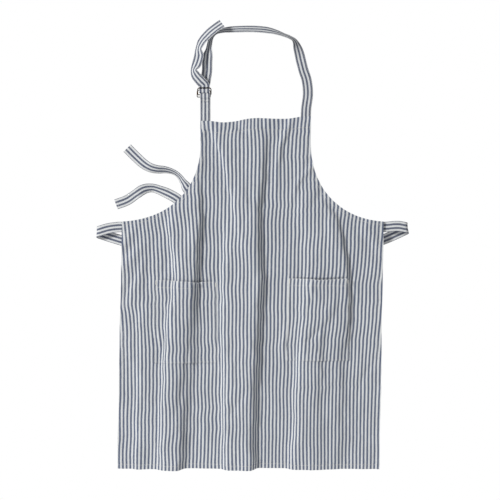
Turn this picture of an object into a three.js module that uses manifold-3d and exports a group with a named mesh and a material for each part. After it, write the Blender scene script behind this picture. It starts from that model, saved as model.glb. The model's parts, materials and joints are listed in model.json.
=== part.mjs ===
// Striped bib apron: a cut panel with turned hems, two patch pockets, a neck strap that is
// adjusted by two D-rings, and two waist ties that are folded back behind the panel.
// Millimetres. +Z is up as the apron hangs, the front faces -Y, +X is right seen from the front.
// The origin is under the top of the neck strap, where a peg or a hook carries it.
import * as THREE from "three";
import { mergeVertices } from "three/addons/utils/BufferGeometryUtils.js";
import Module from "manifold-3d";

const wasm = await Module();
wasm.setup();

// Panel outline, as X and Z of the hanging apron.
const BIB_TOP = -226;
const BIB_LEFT = -134;
const BIB_RIGHT = 153;
const ARMHOLE_TOP = -295;
const ARMHOLE_PULL_DOWN = -400;      // the armhole leaves the bib straight down, aiming here
const ARMHOLE_PULL_IN = -487;        // and reaches the waist corner almost level, from here
const ARMHOLE_REACH = 70;            // how far outside the bib that second aim lies
const WAIST_LEFT = -338;
const WAIST_RIGHT = 342;
const WAIST_TOP = -494;
const SKIRT_LEFT = -350;
const SKIRT_RIGHT = 331;
const SKIRT_BOTTOM = -1138;

// Layers in depth, front to back, each clear of the next.
const GAP = 0.3;
const PANEL_FRONT = 0;
const PANEL_THICKNESS = 2;
const HEM_THICKNESS = 1.6;
const HEM_FRONT = PANEL_FRONT + PANEL_THICKNESS + GAP;
const TAB_FRONT = HEM_FRONT + HEM_THICKNESS + GAP;

// Hem depths.
const TOP_HEM = 30;
const ARMHOLE_HEM = 10;
const SIDE_HEM = 12;
const BOTTOM_HEM = 13;
const POCKET_HEM = 20;

// Patch pockets.
const POCKET_WIDTH = 162;
const POCKET_HEIGHT = 214;
const POCKET_ROOM = 9.3;             // depth from the pocket's face to the panel
const POCKET_CLOTH = 1.4;
const POCKET_SEAM = 4;               // width of the sewn edge that closes the pocket
const POCKET_HEM_CLOTH = 1;
const POCKETS = {
  left: { left: -254, top: -648 },
  right: { left: 90, top: -642 },
};

// Strap and tie tape.
const TAPE_WIDTH = 27;
const TAPE_THICKNESS = 1.6;
const TAPE_MIDDLE = TAB_FRONT + TAPE_THICKNESS / 2;
const STEPS_PER_SPAN = 6;
const BEND_ROOM = 1.3;               // a tape stops this far either side of a line where it bends
const BEND_LINE = -224;              // the straps bend here when the panel swings
const TAB_LENGTH = 28;

// Neck strap and its buckle.
const SHORT_STRAP_X = -121.6;
const LONG_STRAP_X = 140;
const WIRE_RADIUS = 1.1;
const RING_HALF_WIDTH = 17.3;        // to the wire's middle
const RING_HEIGHT = 18;              // bar to top wire, middle to middle
const RING_TOP_CORNER = 5;
const RING_BAR_CORNER = 2.5;
const RING_POINTS = 40;              // spaced round the ring's middle line
const RING_SEGMENTS = 56;
const WIRE_SIDES = 8;
const FRONT_BAR = { y: 0.35, z: -164.5 };
const REAR_BAR = { y: 2.85, z: -170 };
const FRONT_RING_LEAN = 6.9;         // degrees, top forward, so that it lies on the tail
const FOLD_RADIUS = 3.4;             // the short strap over the bars, at mid thickness
const FOLD_CENTRE_Y = 1.6;
const TURN_RADIUS = 2.5;             // the long strap round the rear ring's top wire
const TURN_CENTRE = { y: 2.9, z: -154 };
const TAIL_HINGE = -143.7;
const ARC_STEPS = 8;

// Stitched tacks.
const TACK_LENGTH = 10;
const TACK_WIDTH = 1.6;
const TACK_HEIGHT = 0.8;
const TACK_INSET = 2;                // from the edge it holds down
const FLAP_TACK_Z = -181;            // where the short strap's folded end is sewn to its back layer

const CURVE_STEPS = 24;
const degrees = THREE.MathUtils.degToRad;

const cloth = (colour) => new THREE.MeshStandardMaterial({ color: colour, roughness: 0.9, metalness: 0 });
const materials = {
  panel: cloth(0x9aa3b3),
  hem: cloth(0x8d97a8),
  pocket: cloth(0xa3abba),
  tape: cloth(0xb4bac4),
  thread: cloth(0xd9d5cc),
  ring: new THREE.MeshStandardMaterial({ color: 0x6b5a3c, roughness: 0.4, metalness: 0.9 }),
};

const apron = new THREE.Group();

function add(name, geometry, material) {
  const mesh = new THREE.Mesh(geometry, material);
  mesh.name = name;
  apron.add(mesh);
  return mesh;
}

// A flat piece cut to an outline in X and Z, lying from depth front to front + thickness.
function cut(outline, front, thickness) {
  const settings = { depth: thickness, bevelEnabled: false, curveSegments: CURVE_STEPS };
  const geometry = new THREE.ExtrudeGeometry(outline, settings);
  geometry.rotateX(Math.PI / 2);
  geometry.translate(0, front + thickness, 0);
  return geometry;
}

function outlineOf(points) {
  return new THREE.Shape(points.map(([x, z]) => new THREE.Vector2(x, z)));
}

function rectangle(left, right, bottom, top) {
  return outlineOf([[left, bottom], [right, bottom], [right, top], [left, top]]);
}

// Solid for a boolean, and back.
function toSolid(geometry) {
  const bare = geometry.clone();
  bare.deleteAttribute("normal");
  bare.deleteAttribute("uv");
  const merged = mergeVertices(bare);
  const vertProperties = new Float32Array(merged.attributes.position.array);
  const triVerts = new Uint32Array(merged.index.array);
  return new wasm.Manifold(new wasm.Mesh({ numProp: 3, vertProperties, triVerts }));
}

function fromSolid(solid) {
  const mesh = solid.getMesh();
  const geometry = new THREE.BufferGeometry();
  geometry.setAttribute("position", new THREE.BufferAttribute(mesh.vertProperties, 3));
  geometry.setIndex(new THREE.BufferAttribute(mesh.triVerts, 1));
  geometry.computeVertexNormals();
  return geometry;
}

// A tape swept along a smooth line. Each station is [place, direction across the tape].
function tape(stations) {
  const line = new THREE.CatmullRomCurve3(stations.map(([at]) => new THREE.Vector3(...at)));
  const across = new THREE.CatmullRomCurve3(stations.map(([, wide]) => new THREE.Vector3(...wide)));
  line.curveType = "centripetal";
  across.curveType = "centripetal";
  const steps = (stations.length - 1) * STEPS_PER_SPAN;
  const corners = [];
  for (let step = 0; step <= steps; step += 1) {
    const along = step / steps;
    const middle = line.getPoint(along);
    const tangent = line.getTangent(along);
    const wide = across.getPoint(along);
    wide.addScaledVector(tangent, -wide.dot(tangent)).normalize();
    const thick = new THREE.Vector3().crossVectors(tangent, wide);
    for (const [w, t] of [[-1, -1], [1, -1], [1, 1], [-1, 1]]) {
      const corner = middle.clone();
      corner.addScaledVector(wide, w * TAPE_WIDTH / 2);
      corner.addScaledVector(thick, t * TAPE_THICKNESS / 2);
      corners.push(...corner.toArray());
    }
  }
  const faces = [0, 3, 2, 0, 2, 1];
  for (let step = 0; step < steps; step += 1) {
    for (let side = 0; side < 4; side += 1) {
      const a = step * 4 + side;
      const b = step * 4 + (side + 1) % 4;
      faces.push(a, b, b + 4, a, b + 4, a + 4);
    }
  }
  const last = steps * 4;
  faces.push(last, last + 1, last + 2, last, last + 2, last + 3);
  const geometry = new THREE.BufferGeometry();
  geometry.setAttribute("position", new THREE.BufferAttribute(new Float32Array(corners), 3));
  geometry.setIndex(faces);
  geometry.computeVertexNormals();
  return geometry;
}

// A turn of tape about an axis along X, as stations. Angles are in degrees from straight back.
function halfTurn(x, centre, radius, start, sweep, across) {
  const stations = [];
  for (let step = 0; step <= ARC_STEPS; step += 1) {
    const angle = degrees(start + sweep * step / ARC_STEPS);
    const y = centre.y + radius * Math.cos(angle);
    const z = centre.z + radius * Math.sin(angle);
    stations.push([[x, y, z], across]);
  }
  return stations;
}

// ---- The panel and its hems ----

function armhole(bibX, waistX, outward) {
  return new THREE.CubicBezierCurve(
    new THREE.Vector2(bibX, ARMHOLE_TOP),
    new THREE.Vector2(bibX, ARMHOLE_PULL_DOWN),
    new THREE.Vector2(bibX + outward * ARMHOLE_REACH, ARMHOLE_PULL_IN),
    new THREE.Vector2(waistX, WAIST_TOP),
  );
}

const armholes = {
  left: armhole(BIB_LEFT, WAIST_LEFT, -1),
  right: armhole(BIB_RIGHT, WAIST_RIGHT, 1),
};

function panelOutline() {
  const outline = new THREE.Shape();
  outline.moveTo(SKIRT_LEFT, SKIRT_BOTTOM);
  outline.lineTo(SKIRT_RIGHT, SKIRT_BOTTOM);
  outline.lineTo(WAIST_RIGHT, WAIST_TOP);
  const rightEdge = armholes.right.getPoints(CURVE_STEPS).reverse();
  rightEdge.slice(1).forEach((point) => outline.lineTo(point.x, point.y));
  outline.lineTo(BIB_RIGHT, BIB_TOP);
  outline.lineTo(BIB_LEFT, BIB_TOP);
  armholes.left.getPoints(CURVE_STEPS).forEach((point) => outline.lineTo(point.x, point.y));
  return outline;
}

// The turned edge of the bib's side and the armhole: the edge and its copy moved inward.
function armholeHemOutline(side, bibX, inward) {
  const edge = [new THREE.Vector2(bibX, BIB_TOP - TOP_HEM - GAP)];
  edge.push(...armholes[side].getPoints(CURVE_STEPS));
  const inner = edge.map((point, i) => {
    const before = edge[Math.max(i - 1, 0)];
    const after = edge[Math.min(i + 1, edge.length - 1)];
    const along = after.clone().sub(before).normalize();
    const shift = new THREE.Vector2(-along.y, along.x).multiplyScalar(inward * ARMHOLE_HEM);
    return point.clone().add(shift);
  });
  return new THREE.Shape([...edge, ...inner.reverse()]);
}

// X of the skirt's side edge at a height.
function skirtEdge(waistX, hemX, z) {
  return THREE.MathUtils.mapLinear(z, WAIST_TOP, SKIRT_BOTTOM, waistX, hemX);
}

function sideHemOutline(waistX, hemX, inward) {
  const top = WAIST_TOP - ARMHOLE_HEM - 2 * GAP;
  const bottom = SKIRT_BOTTOM + BOTTOM_HEM + GAP;
  const topX = skirtEdge(waistX, hemX, top);
  const bottomX = skirtEdge(waistX, hemX, bottom);
  const width = inward * SIDE_HEM;
  return outlineOf([[bottomX, bottom], [bottomX + width, bottom], [topX + width, top], [topX, top]]);
}

function makePanel() {
  add("apron_panel", cut(panelOutline(), PANEL_FRONT, PANEL_THICKNESS), materials.panel);
  const topHem = rectangle(BIB_LEFT, BIB_RIGHT, BIB_TOP - TOP_HEM, BIB_TOP);
  add("top_hem", cut(topHem, HEM_FRONT, HEM_THICKNESS), materials.hem);
  const edges = {
    left_armhole_hem: armholeHemOutline("left", BIB_LEFT, 1),
    right_armhole_hem: armholeHemOutline("right", BIB_RIGHT, -1),
    left_side_hem: sideHemOutline(WAIST_LEFT, SKIRT_LEFT, 1),
    right_side_hem: sideHemOutline(WAIST_RIGHT, SKIRT_RIGHT, -1),
    bottom_hem: rectangle(SKIRT_LEFT, SKIRT_RIGHT, SKIRT_BOTTOM, SKIRT_BOTTOM + BOTTOM_HEM),
  };
  for (const [name, outline] of Object.entries(edges)) {
    add(name, cut(outline, HEM_FRONT, HEM_THICKNESS), materials.hem);
  }
}

// ---- Patch pockets: a face, a sewn edge on three sides and a turned mouth ----

function makePocket(side) {
  const { left, top } = POCKETS[side];
  const right = left + POCKET_WIDTH;
  const bottom = top - POCKET_HEIGHT;
  const front = PANEL_FRONT - GAP - POCKET_ROOM;
  const block = toSolid(cut(rectangle(left, right, bottom, top), front, POCKET_ROOM));
  const inside = rectangle(left + POCKET_SEAM, right - POCKET_SEAM, bottom + POCKET_SEAM, top + 1);
  const room = toSolid(cut(inside, front + POCKET_CLOTH, POCKET_ROOM));
  add(`${side}_pocket`, fromSolid(block.subtract(room)), materials.pocket);

  const hemLeft = left + POCKET_SEAM + GAP;
  const hemRight = right - POCKET_SEAM - GAP;
  const hem = rectangle(hemLeft, hemRight, top - POCKET_HEM, top);
  const hemFront = front + POCKET_CLOTH + GAP;
  add(`${side}_pocket_hem`, cut(hem, hemFront, POCKET_HEM_CLOTH), materials.hem);

  const tackFront = front - GAP - TACK_HEIGHT;
  const corners = { outer: side === "left" ? left : right, inner: side === "left" ? right : left };
  for (const [place, edge] of Object.entries(corners)) {
    const x = edge + (edge === left ? TACK_WIDTH : -2 * TACK_WIDTH);
    const tack = rectangle(x, x + TACK_WIDTH, top - TACK_INSET - TACK_LENGTH, top - TACK_INSET);
    add(`${side}_pocket_${place}_tack`, cut(tack, tackFront, TACK_HEIGHT), materials.thread);
  }
}

// ---- Neck strap ----

function makeStrapTab(name, x) {
  const top = BEND_LINE - BEND_ROOM;
  const tab = rectangle(x - TAPE_WIDTH / 2, x + TAPE_WIDTH / 2, top - TAB_LENGTH, top);
  add(`${name}_tab`, cut(tab, TAB_FRONT, TAPE_THICKNESS), materials.tape);
  const tackBottom = top - TAB_LENGTH + TACK_INSET;
  const tack = rectangle(x - TACK_LENGTH, x + TACK_LENGTH, tackBottom, tackBottom + TACK_WIDTH);
  add(`${name}_tack`, cut(tack, TAB_FRONT + TAPE_THICKNESS + GAP, TACK_HEIGHT), materials.thread);
}

// Up the back, over both ring bars, and down the front, where the end is sewn to the back layer.
function shortStrap() {
  const x = SHORT_STRAP_X;
  const wide = [1, 0, 0];
  const flapFront = FOLD_CENTRE_Y - FOLD_RADIUS;
  const sewn = TAPE_MIDDLE - TAPE_THICKNESS - GAP;
  const fold = { y: FOLD_CENTRE_Y, z: FRONT_BAR.z };
  return tape([
    [[x, TAPE_MIDDLE, BEND_LINE + BEND_ROOM], wide],
    [[x, TAPE_MIDDLE, -205], wide],
    [[x, TAPE_MIDDLE, -185], wide],
    ...halfTurn(x, fold, FOLD_RADIUS, 0, 180, wide),
    [[x, flapFront, -168], wide],
    [[x, flapFront + 0.8, -171.5], wide],
    [[x, sewn - 1.4, -175], wide],
    [[x, sewn, -178], wide],
    [[x, sewn, -182], wide],
  ]);
}

// From the bib's right corner round the neck and down to the buckle, where it turns up
// round the rear ring's top wire and ends under the front ring's.
function longStrap() {
  const flat = [-1, 0, 0];
  const x = SHORT_STRAP_X;
  return tape([
    [[LONG_STRAP_X, TAPE_MIDDLE, BEND_LINE + BEND_ROOM], [1, 0, 0]],
    [[141, 5.2, -200], [1, 0, 0]],
    [[145.6, 6, -160], [1, 0, 0]],
    [[142, 6.5, -125], [1, 0, 0]],
    [[134, 7, -100], [1, 0, 0]],
    [[127.4, 8, -74], [1, 0, 0]],
    [[121, 8, -48], [0.95, 0.3, 0]],
    [[111, 8, -22], [0.58, 0.8, 0]],
    [[98, 8, -13], [0.15, 1, 0.1]],
    [[83, 8, -8], [0, 1, 0.1]],
    [[60, 8, 1], [0, 0.9, 0.43]],
    [[34, 8, 7], [0, 0.78, 0.63]],
    [[-5, 8, 9.5], [0, 0.78, 0.63]],
    [[-50, 8, 8.5], [0, 0.78, 0.63]],
    [[-78, 8, 5], [0, 0.9, 0.43]],
    [[-96, 8, -2], [0, 1, 0]],
    [[-107, 8, -17], [-0.6, 0.8, 0]],
    [[-112.5, 8, -43], [-0.95, 0.3, 0]],
    [[-116, 7, -69], flat],
    [[-117, 6.5, -100], flat],
    [[-119.5, 6, -125], flat],
    [[x, TURN_CENTRE.y + TURN_RADIUS, -143], flat],
    ...halfTurn(x, TURN_CENTRE, TURN_RADIUS, 0, -180, flat),
    [[x, TURN_CENTRE.y - TURN_RADIUS, -149], flat],
    [[x, TURN_CENTRE.y - TURN_RADIUS, TAIL_HINGE - BEND_ROOM], flat],
  ]);
}

// The strap's free end: up from the buckle, out to the left, and over the strap's top corner.
function strapTail() {
  return tape([
    [[SHORT_STRAP_X, TURN_CENTRE.y - TURN_RADIUS, TAIL_HINGE + BEND_ROOM], [-1, 0, 0]],
    [[SHORT_STRAP_X, TURN_CENTRE.y - TURN_RADIUS, TAIL_HINGE + 4], [-1, 0, 0]],
    [[-127, -2.5, -128], [-0.95, -0.3, -0.2]],
    [[-141, -8, -113], [-0.7, -0.7, -0.2]],
    [[-148, -10, -99], [-0.5, -0.87, 0]],
    [[-143, -10, -80], [-0.75, -0.65, 0.1]],
    [[-139, -9, -62], [-0.9, -0.4, 0]],
    [[-139, -10, -45], [-0.75, -0.6, 0.1]],
    [[-131, -12, -29], [-0.7, -0.5, 0.35]],
    [[-118, -13, -13], [-0.65, -0.45, 0.5]],
    [[-101, -14, 2], [-0.62, -0.4, 0.55]],
    [[-77.5, -14, 18.5], [-0.62, -0.4, 0.58]],
  ]);
}

// A D-ring: a straight bar, short sides and a top wire with round corners, leaning on its bar.
function ring(bar, lean) {
  const half = RING_HALF_WIDTH;
  const path = new THREE.Path();
  path.moveTo(-half + RING_BAR_CORNER, 0);
  path.lineTo(half - RING_BAR_CORNER, 0);
  path.absarc(half - RING_BAR_CORNER, RING_BAR_CORNER, RING_BAR_CORNER, -Math.PI / 2, 0);
  path.absarc(half - RING_TOP_CORNER, RING_HEIGHT - RING_TOP_CORNER, RING_TOP_CORNER, 0, Math.PI / 2);
  path.absarc(-half + RING_TOP_CORNER, RING_HEIGHT - RING_TOP_CORNER, RING_TOP_CORNER, Math.PI / 2, Math.PI);
  path.absarc(-half + RING_BAR_CORNER, RING_BAR_CORNER, RING_BAR_CORNER, Math.PI, Math.PI * 1.5);
  const points = path.getSpacedPoints(RING_POINTS).slice(0, -1);
  const line = points.map((point) => new THREE.Vector3(point.x, 0, point.y));
  const centre = new THREE.CatmullRomCurve3(line, true, "centripetal");
  const geometry = new THREE.TubeGeometry(centre, RING_SEGMENTS, WIRE_RADIUS, WIRE_SIDES, true);
  geometry.rotateX(degrees(lean));
  geometry.translate(SHORT_STRAP_X, bar.y, bar.z);
  return geometry;
}

function makeNeckStrap() {
  add("short_strap", shortStrap(), materials.tape);
  add("long_strap", longStrap(), materials.tape);
  add("strap_tail", strapTail(), materials.tape);
  add("front_d_ring", ring(FRONT_BAR, FRONT_RING_LEAN), materials.ring);
  add("rear_d_ring", ring(REAR_BAR, 0), materials.ring);
  makeStrapTab("short_strap", SHORT_STRAP_X);
  makeStrapTab("long_strap", LONG_STRAP_X);
  const flapFront = TAPE_MIDDLE - 1.5 * TAPE_THICKNESS - GAP;
  const tackTop = FLAP_TACK_Z + TACK_WIDTH;
  const tack = rectangle(SHORT_STRAP_X - TACK_LENGTH, SHORT_STRAP_X + TACK_LENGTH, FLAP_TACK_Z, tackTop);
  add("fold_tack", cut(tack, flapFront - GAP - TACK_HEIGHT, TACK_HEIGHT), materials.thread);
}

// ---- Waist ties ----

const TIE_SEAM_Z = -508;
const TIE_BEND = 3.5;                // the tie bends this far outside the side edge

// Where a tie comes out from behind an armhole: its end drops from here, in a plane of its own
// just behind. Gives a station on the straight stretch there, at a distance along it.
const END_STEP = 2;

function armholeExit(at, along) {
  return (distance) => {
    const place = at.map((value, i) => value + along[i] * distance);
    if (distance > 0) place[1] += END_STEP;
    return [place, [along[2], 0, -along[0]]];
  };
}

const leftExit = armholeExit([-192, 9, -438], [-0.7, 0, 0.71]);
const rightExit = armholeExit([-166, 22, -411], [-0.64, 0, 0.77]);
const EXIT_STRAIGHT = 5;

function makeTieTab(side, waistX, inward) {
  const edge = waistX - inward * (TIE_BEND - BEND_ROOM);
  const inner = edge + inward * TAB_LENGTH;
  const bottom = TIE_SEAM_Z - TAPE_WIDTH / 2;
  const tab = rectangle(Math.min(edge, inner), Math.max(edge, inner), bottom, bottom + TAPE_WIDTH);
  add(`${side}_tie_tab`, cut(tab, TAB_FRONT, TAPE_THICKNESS), materials.tape);
  const x = inner - inward * 2 * TACK_WIDTH;
  const half = TAPE_WIDTH / 2 - 3;
  const tack = rectangle(x - TACK_WIDTH / 2, x + TACK_WIDTH / 2, TIE_SEAM_Z - half, TIE_SEAM_Z + half);
  add(`${side}_tie_tack`, cut(tack, TAB_FRONT + TAPE_THICKNESS + GAP, TACK_HEIGHT), materials.thread);
}

// Out past the side edge, back behind the skirt, folded over and up to the left armhole.
function leftTie() {
  const start = WAIST_LEFT - TIE_BEND - BEND_ROOM;
  return tape([
    [[start, TAPE_MIDDLE, TIE_SEAM_Z], [0, 0, 1]],
    [[start - EXIT_STRAIGHT, TAPE_MIDDLE, TIE_SEAM_Z], [0, 0, 1]],
    [[-362, 5, -512], [0, 0, 1]],
    [[-384, 5.3, -518], [0, 0, 1]],
    [[-398, 6.6, -522], [-0.1, 0, 1]],
    [[-402.5, 9.6, -524], [-0.1, 0, 1]],
    [[-398, 12.6, -526], [0.1, 0, 1]],
    [[-384, 14, -530], [0.3, 0, 1]],
    [[-338, 14, -547], [0.35, 0, 1]],
    [[-240, 14, -582], [0.3, 0, 1]],
    [[-150, 14, -609], [0.28, 0, 1]],
    [[-85, 14, -627], [0.3, 0, 0.95]],
    [[-68, 14, -632.4], [0.3, 0, 0.95]],
    [[-65.2, 11.5, -632.8], [0.56, 0.33, 0.75]],
    [[-66.3, 9, -630.2], [0.83, 0, 0.56]],
    [[-84, 9, -604], [0.83, 0, 0.56]],
    [[-130, 9, -533], [0.84, 0, 0.55]],
    [[-168, 9, -470], [0.8, 0, 0.6]],
    leftExit(-EXIT_STRAIGHT),
    leftExit(-GAP),
  ]);
}

function leftTieEnd() {
  return tape([
    leftExit(GAP),
    leftExit(EXIT_STRAIGHT),
    [[-217, 11, -422], [0.45, 0, 0.9]],
    [[-240, 11, -414], [0.35, 0, 0.94]],
    [[-260, 11, -408.5], [0.1, 0, 1]],
    [[-282, 11, -411], [-0.3, 0, 0.95]],
    [[-304, 11, -424], [-0.5, 0, 0.85]],
    [[-326, 11, -438], [-0.5, 0, 0.87]],
    [[-355, 11, -449], [-0.42, 0, 0.9]],
  ]);
}

// Out past the side edge, back behind the skirt to the far armhole.
function rightTie() {
  const start = WAIST_RIGHT + TIE_BEND + BEND_ROOM;
  return tape([
    [[start, TAPE_MIDDLE, TIE_SEAM_Z], [0, 0, 1]],
    [[start + EXIT_STRAIGHT, TAPE_MIDDLE, TIE_SEAM_Z], [0, 0, 1]],
    [[366, 5, -511], [0, 0, 1]],
    [[388, 5.3, -516], [0, 0, 1]],
    [[401, 6.6, -519], [0.1, 0, 1]],
    [[405.5, 9.6, -521], [0.1, 0, 1]],
    [[401, 12.6, -524], [-0.1, 0, 1]],
    [[388, 14, -528], [-0.25, 0, 1]],
    [[342, 14, -542], [-0.25, 0, 1]],
    [[240, 14, -556], [-0.08, 0, 1]],
    [[120, 14, -552], [0.1, 0, 1]],
    [[10, 14.5, -527], [0.3, 0, 1]],
    [[-80, 18, -479], [0.55, 0, 0.85]],
    [[-140, 21, -438], [0.7, 0, 0.8]],
    rightExit(-EXIT_STRAIGHT),
    rightExit(-GAP),
  ]);
}

function rightTieEnd() {
  return tape([
    rightExit(GAP),
    rightExit(EXIT_STRAIGHT),
    [[-179, 26, -391], [0.8, 0.15, 0.55]],
    [[-190, 31, -373], [0.6, 0.55, 0.5]],
    [[-203, 31, -364], [0.35, 0.45, 0.8]],
    [[-226, 27, -360], [0, 0.1, 1]],
    [[-264, 24, -357], [0, 0, 1]],
    [[-286, 24, -344], [0.5, 0, 0.85]],
    [[-304, 24, -326], [0.6, 0, 0.75]],
    [[-327, 24, -303], [0.55, 0, 0.84]],
  ]);
}

function makeTies() {
  makeTieTab("left", WAIST_LEFT, 1);
  makeTieTab("right", WAIST_RIGHT, -1);
  add("left_waist_tie", leftTie(), materials.tape);
  add("left_tie_end", leftTieEnd(), materials.tape);
  add("right_waist_tie", rightTie(), materials.tape);
  add("right_tie_end", rightTieEnd(), materials.tape);
}

makePanel();
makePocket("left");
makePocket("right");
makeNeckStrap();
makeTies();

export default apron;
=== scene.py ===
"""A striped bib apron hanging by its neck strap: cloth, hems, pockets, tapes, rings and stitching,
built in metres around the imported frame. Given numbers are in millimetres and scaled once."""

import json
import math

import bmesh
import bpy
import numpy as np
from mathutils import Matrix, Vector


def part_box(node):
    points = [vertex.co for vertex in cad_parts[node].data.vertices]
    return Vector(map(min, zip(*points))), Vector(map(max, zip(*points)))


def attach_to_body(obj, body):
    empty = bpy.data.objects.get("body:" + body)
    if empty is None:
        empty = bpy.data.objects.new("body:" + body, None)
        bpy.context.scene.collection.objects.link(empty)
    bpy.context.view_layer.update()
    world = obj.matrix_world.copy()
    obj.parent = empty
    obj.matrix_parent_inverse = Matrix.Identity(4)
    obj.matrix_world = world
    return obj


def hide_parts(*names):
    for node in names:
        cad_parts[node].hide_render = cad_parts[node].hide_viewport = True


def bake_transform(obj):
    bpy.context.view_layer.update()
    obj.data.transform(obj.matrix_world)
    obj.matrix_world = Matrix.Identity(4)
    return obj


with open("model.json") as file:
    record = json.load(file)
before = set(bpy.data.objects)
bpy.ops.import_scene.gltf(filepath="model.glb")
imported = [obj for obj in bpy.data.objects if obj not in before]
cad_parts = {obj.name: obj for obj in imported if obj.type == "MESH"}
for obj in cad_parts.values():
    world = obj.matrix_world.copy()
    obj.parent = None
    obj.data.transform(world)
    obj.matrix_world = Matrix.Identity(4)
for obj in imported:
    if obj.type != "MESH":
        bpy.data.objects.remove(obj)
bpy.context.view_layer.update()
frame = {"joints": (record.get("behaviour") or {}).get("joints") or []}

MM = 0.001


def box_mm(node):
    """A CAD node's lowest and highest corner in millimetres."""
    low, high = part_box(node)
    return np.array(low) / MM, np.array(high) / MM


PANEL_LOW, PANEL_HIGH = box_mm("apron_panel")
TOP_HEM_LOW, TOP_HEM_HIGH = box_mm("top_hem")
BOTTOM_HEM_LOW, BOTTOM_HEM_HIGH = box_mm("bottom_hem")
PANEL_MIDDLE_Y = (PANEL_LOW[1] + PANEL_HIGH[1]) / 2

CLOTH_THICKNESS = 0.9
SKIRT_BOTTOM = BOTTOM_HEM_LOW[2]
BIB_TOP = TOP_HEM_HIGH[2]
BIB_LEFT, BIB_RIGHT = TOP_HEM_LOW[0], TOP_HEM_HIGH[0]
SKIRT_LEFT, SKIRT_RIGHT = BOTTOM_HEM_LOW[0], BOTTOM_HEM_HIGH[0]
WAIST_TOP = -494
WAIST_LEFT, WAIST_RIGHT = -338, PANEL_HIGH[0]
ARMHOLE_TOP = -295
ARMHOLE_PULL_DOWN = -400
ARMHOLE_PULL_IN = -487
ARMHOLE_REACH = 70

TOP_HEM = TOP_HEM_HIGH[2] - TOP_HEM_LOW[2]
ARMHOLE_HEM = 10
SIDE_HEM = 12
BOTTOM_HEM = 13
POCKET_HEM = 20


class Nodes:
    """Short hand for building a node tree."""

    def __init__(self, owner, shader="Principled BSDF"):
        owner.use_nodes = True
        self.tree = owner.node_tree
        self.shader = self.tree.nodes[shader]

    def new(self, kind, inputs=None, **settings):
        node = self.tree.nodes.new(kind)
        for name, value in settings.items():
            setattr(node, name, value)
        for name, value in (inputs or {}).items():
            self.put(node.inputs[name], value)
        return node

    def put(self, socket, value):
        if isinstance(value, bpy.types.NodeSocket):
            self.tree.links.new(value, socket)
        else:
            socket.default_value = value

    def shade(self, sockets):
        for name, value in sockets.items():
            self.put(self.shader.inputs[name], value)

    def bump(self, height, strength, distance):
        node = self.new("ShaderNodeBump", {"Strength": strength, "Distance": distance, "Height": height})
        self.shade({"Normal": node.outputs["Normal"]})

    def math(self, operation, a, b=0.0, c=0.0):
        return self.new("ShaderNodeMath", {0: a, 1: b, 2: c}, operation=operation).outputs[0]

    def ramp(self, value, low, high, to_low=0.0, to_high=1.0):
        sockets = {"Value": value, "From Min": low, "From Max": high, "To Min": to_low, "To Max": to_high}
        return self.new("ShaderNodeMapRange", sockets, interpolation_type="SMOOTHSTEP").outputs["Result"]

    def noise(self, place, scale=1.0, detail=2.0, roughness=0.5):
        sockets = {"Vector": place, "Scale": scale, "Detail": detail, "Roughness": roughness}
        return self.new("ShaderNodeTexNoise", sockets).outputs["Fac"]

    def mix(self, amount, a, b):
        return self.new("ShaderNodeMix", {0: amount, 6: a, 7: b}, data_type="RGBA").outputs[2]

    def object_place(self):
        return self.new("ShaderNodeTexCoord").outputs["Object"]


# ---- Camera, floor and light

CAMERA_DISTANCE = 3.0
VIEW_WIDTH = 1.3
VIEW_CENTRE = (-0.0052, 0.0, -0.568)
FLOOR_Z = -1.9
FLOOR_RADIUS = 3.0
FLOOR_FADES_FROM, FLOOR_GONE_AT = 0.9, 0.97 * FLOOR_RADIUS
WORLD_AS_LIGHT = 0.27


def add_camera():
    data = bpy.data.cameras.new("camera")
    data.sensor_width = 36
    data.lens = data.sensor_width * CAMERA_DISTANCE / VIEW_WIDTH
    camera = bpy.data.objects.new("camera", data)
    camera.location = (VIEW_CENTRE[0], VIEW_CENTRE[1] - CAMERA_DISTANCE, VIEW_CENTRE[2])
    camera.rotation_euler = (math.pi / 2, 0, 0)
    bpy.context.collection.objects.link(camera)
    bpy.context.scene.camera = camera


def add_area_light(name, place, size, power):
    data = bpy.data.lights.new(name, "AREA")
    data.shape = "DISK"
    data.size = size
    data.energy = power
    light = bpy.data.objects.new(name, data)
    light.location = place
    light.rotation_euler = (Vector(VIEW_CENTRE) - Vector(place)).to_track_quat("-Z", "Y").to_euler()
    bpy.context.collection.objects.link(light)


def add_world():
    """White all round; softer as light than as background."""
    world = bpy.data.worlds.new("studio")
    n = Nodes(world, "Background")
    seen = n.new("ShaderNodeLightPath").outputs["Is Camera Ray"]
    strength = n.new("ShaderNodeMapRange", {"Value": seen, "To Min": WORLD_AS_LIGHT, "To Max": 1.0})
    n.shade({"Color": (1, 1, 1, 1), "Strength": strength.outputs["Result"]})
    bpy.context.scene.world = world


def add_floor():
    """A pale disc well below the apron, thinning out to nothing at its rim."""
    bpy.ops.mesh.primitive_circle_add(vertices=128, radius=FLOOR_RADIUS, fill_type="NGON",
                                      location=(0, 0, FLOOR_Z))
    floor = bpy.context.object
    floor.name = "floor"
    material = bpy.data.materials.new("floor_white")
    n = Nodes(material)
    out = n.new("ShaderNodeVectorMath", {0: n.object_place()}, operation="LENGTH").outputs["Value"]
    n.shade({"Base Color": (0.9, 0.9, 0.895, 1), "Roughness": 0.9, "Emission Color": (1, 1, 1, 1),
             "Emission Strength": 0.15, "Alpha": n.ramp(out, FLOOR_FADES_FROM, FLOOR_GONE_AT, 1.0, 0.0)})
    floor.data.materials.append(material)


add_camera()
add_world()
add_floor()
add_area_light("key", (-4.5, -4.0, 1.6), 1.6, 300)
add_area_light("fill", (2.4, -2.2, -0.4), 1.8, 4)
add_area_light("back", (0.8, 2.6, 0.4), 1.6, 30)
bpy.context.scene.view_settings.view_transform = "Standard"

# ---- Materials


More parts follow.
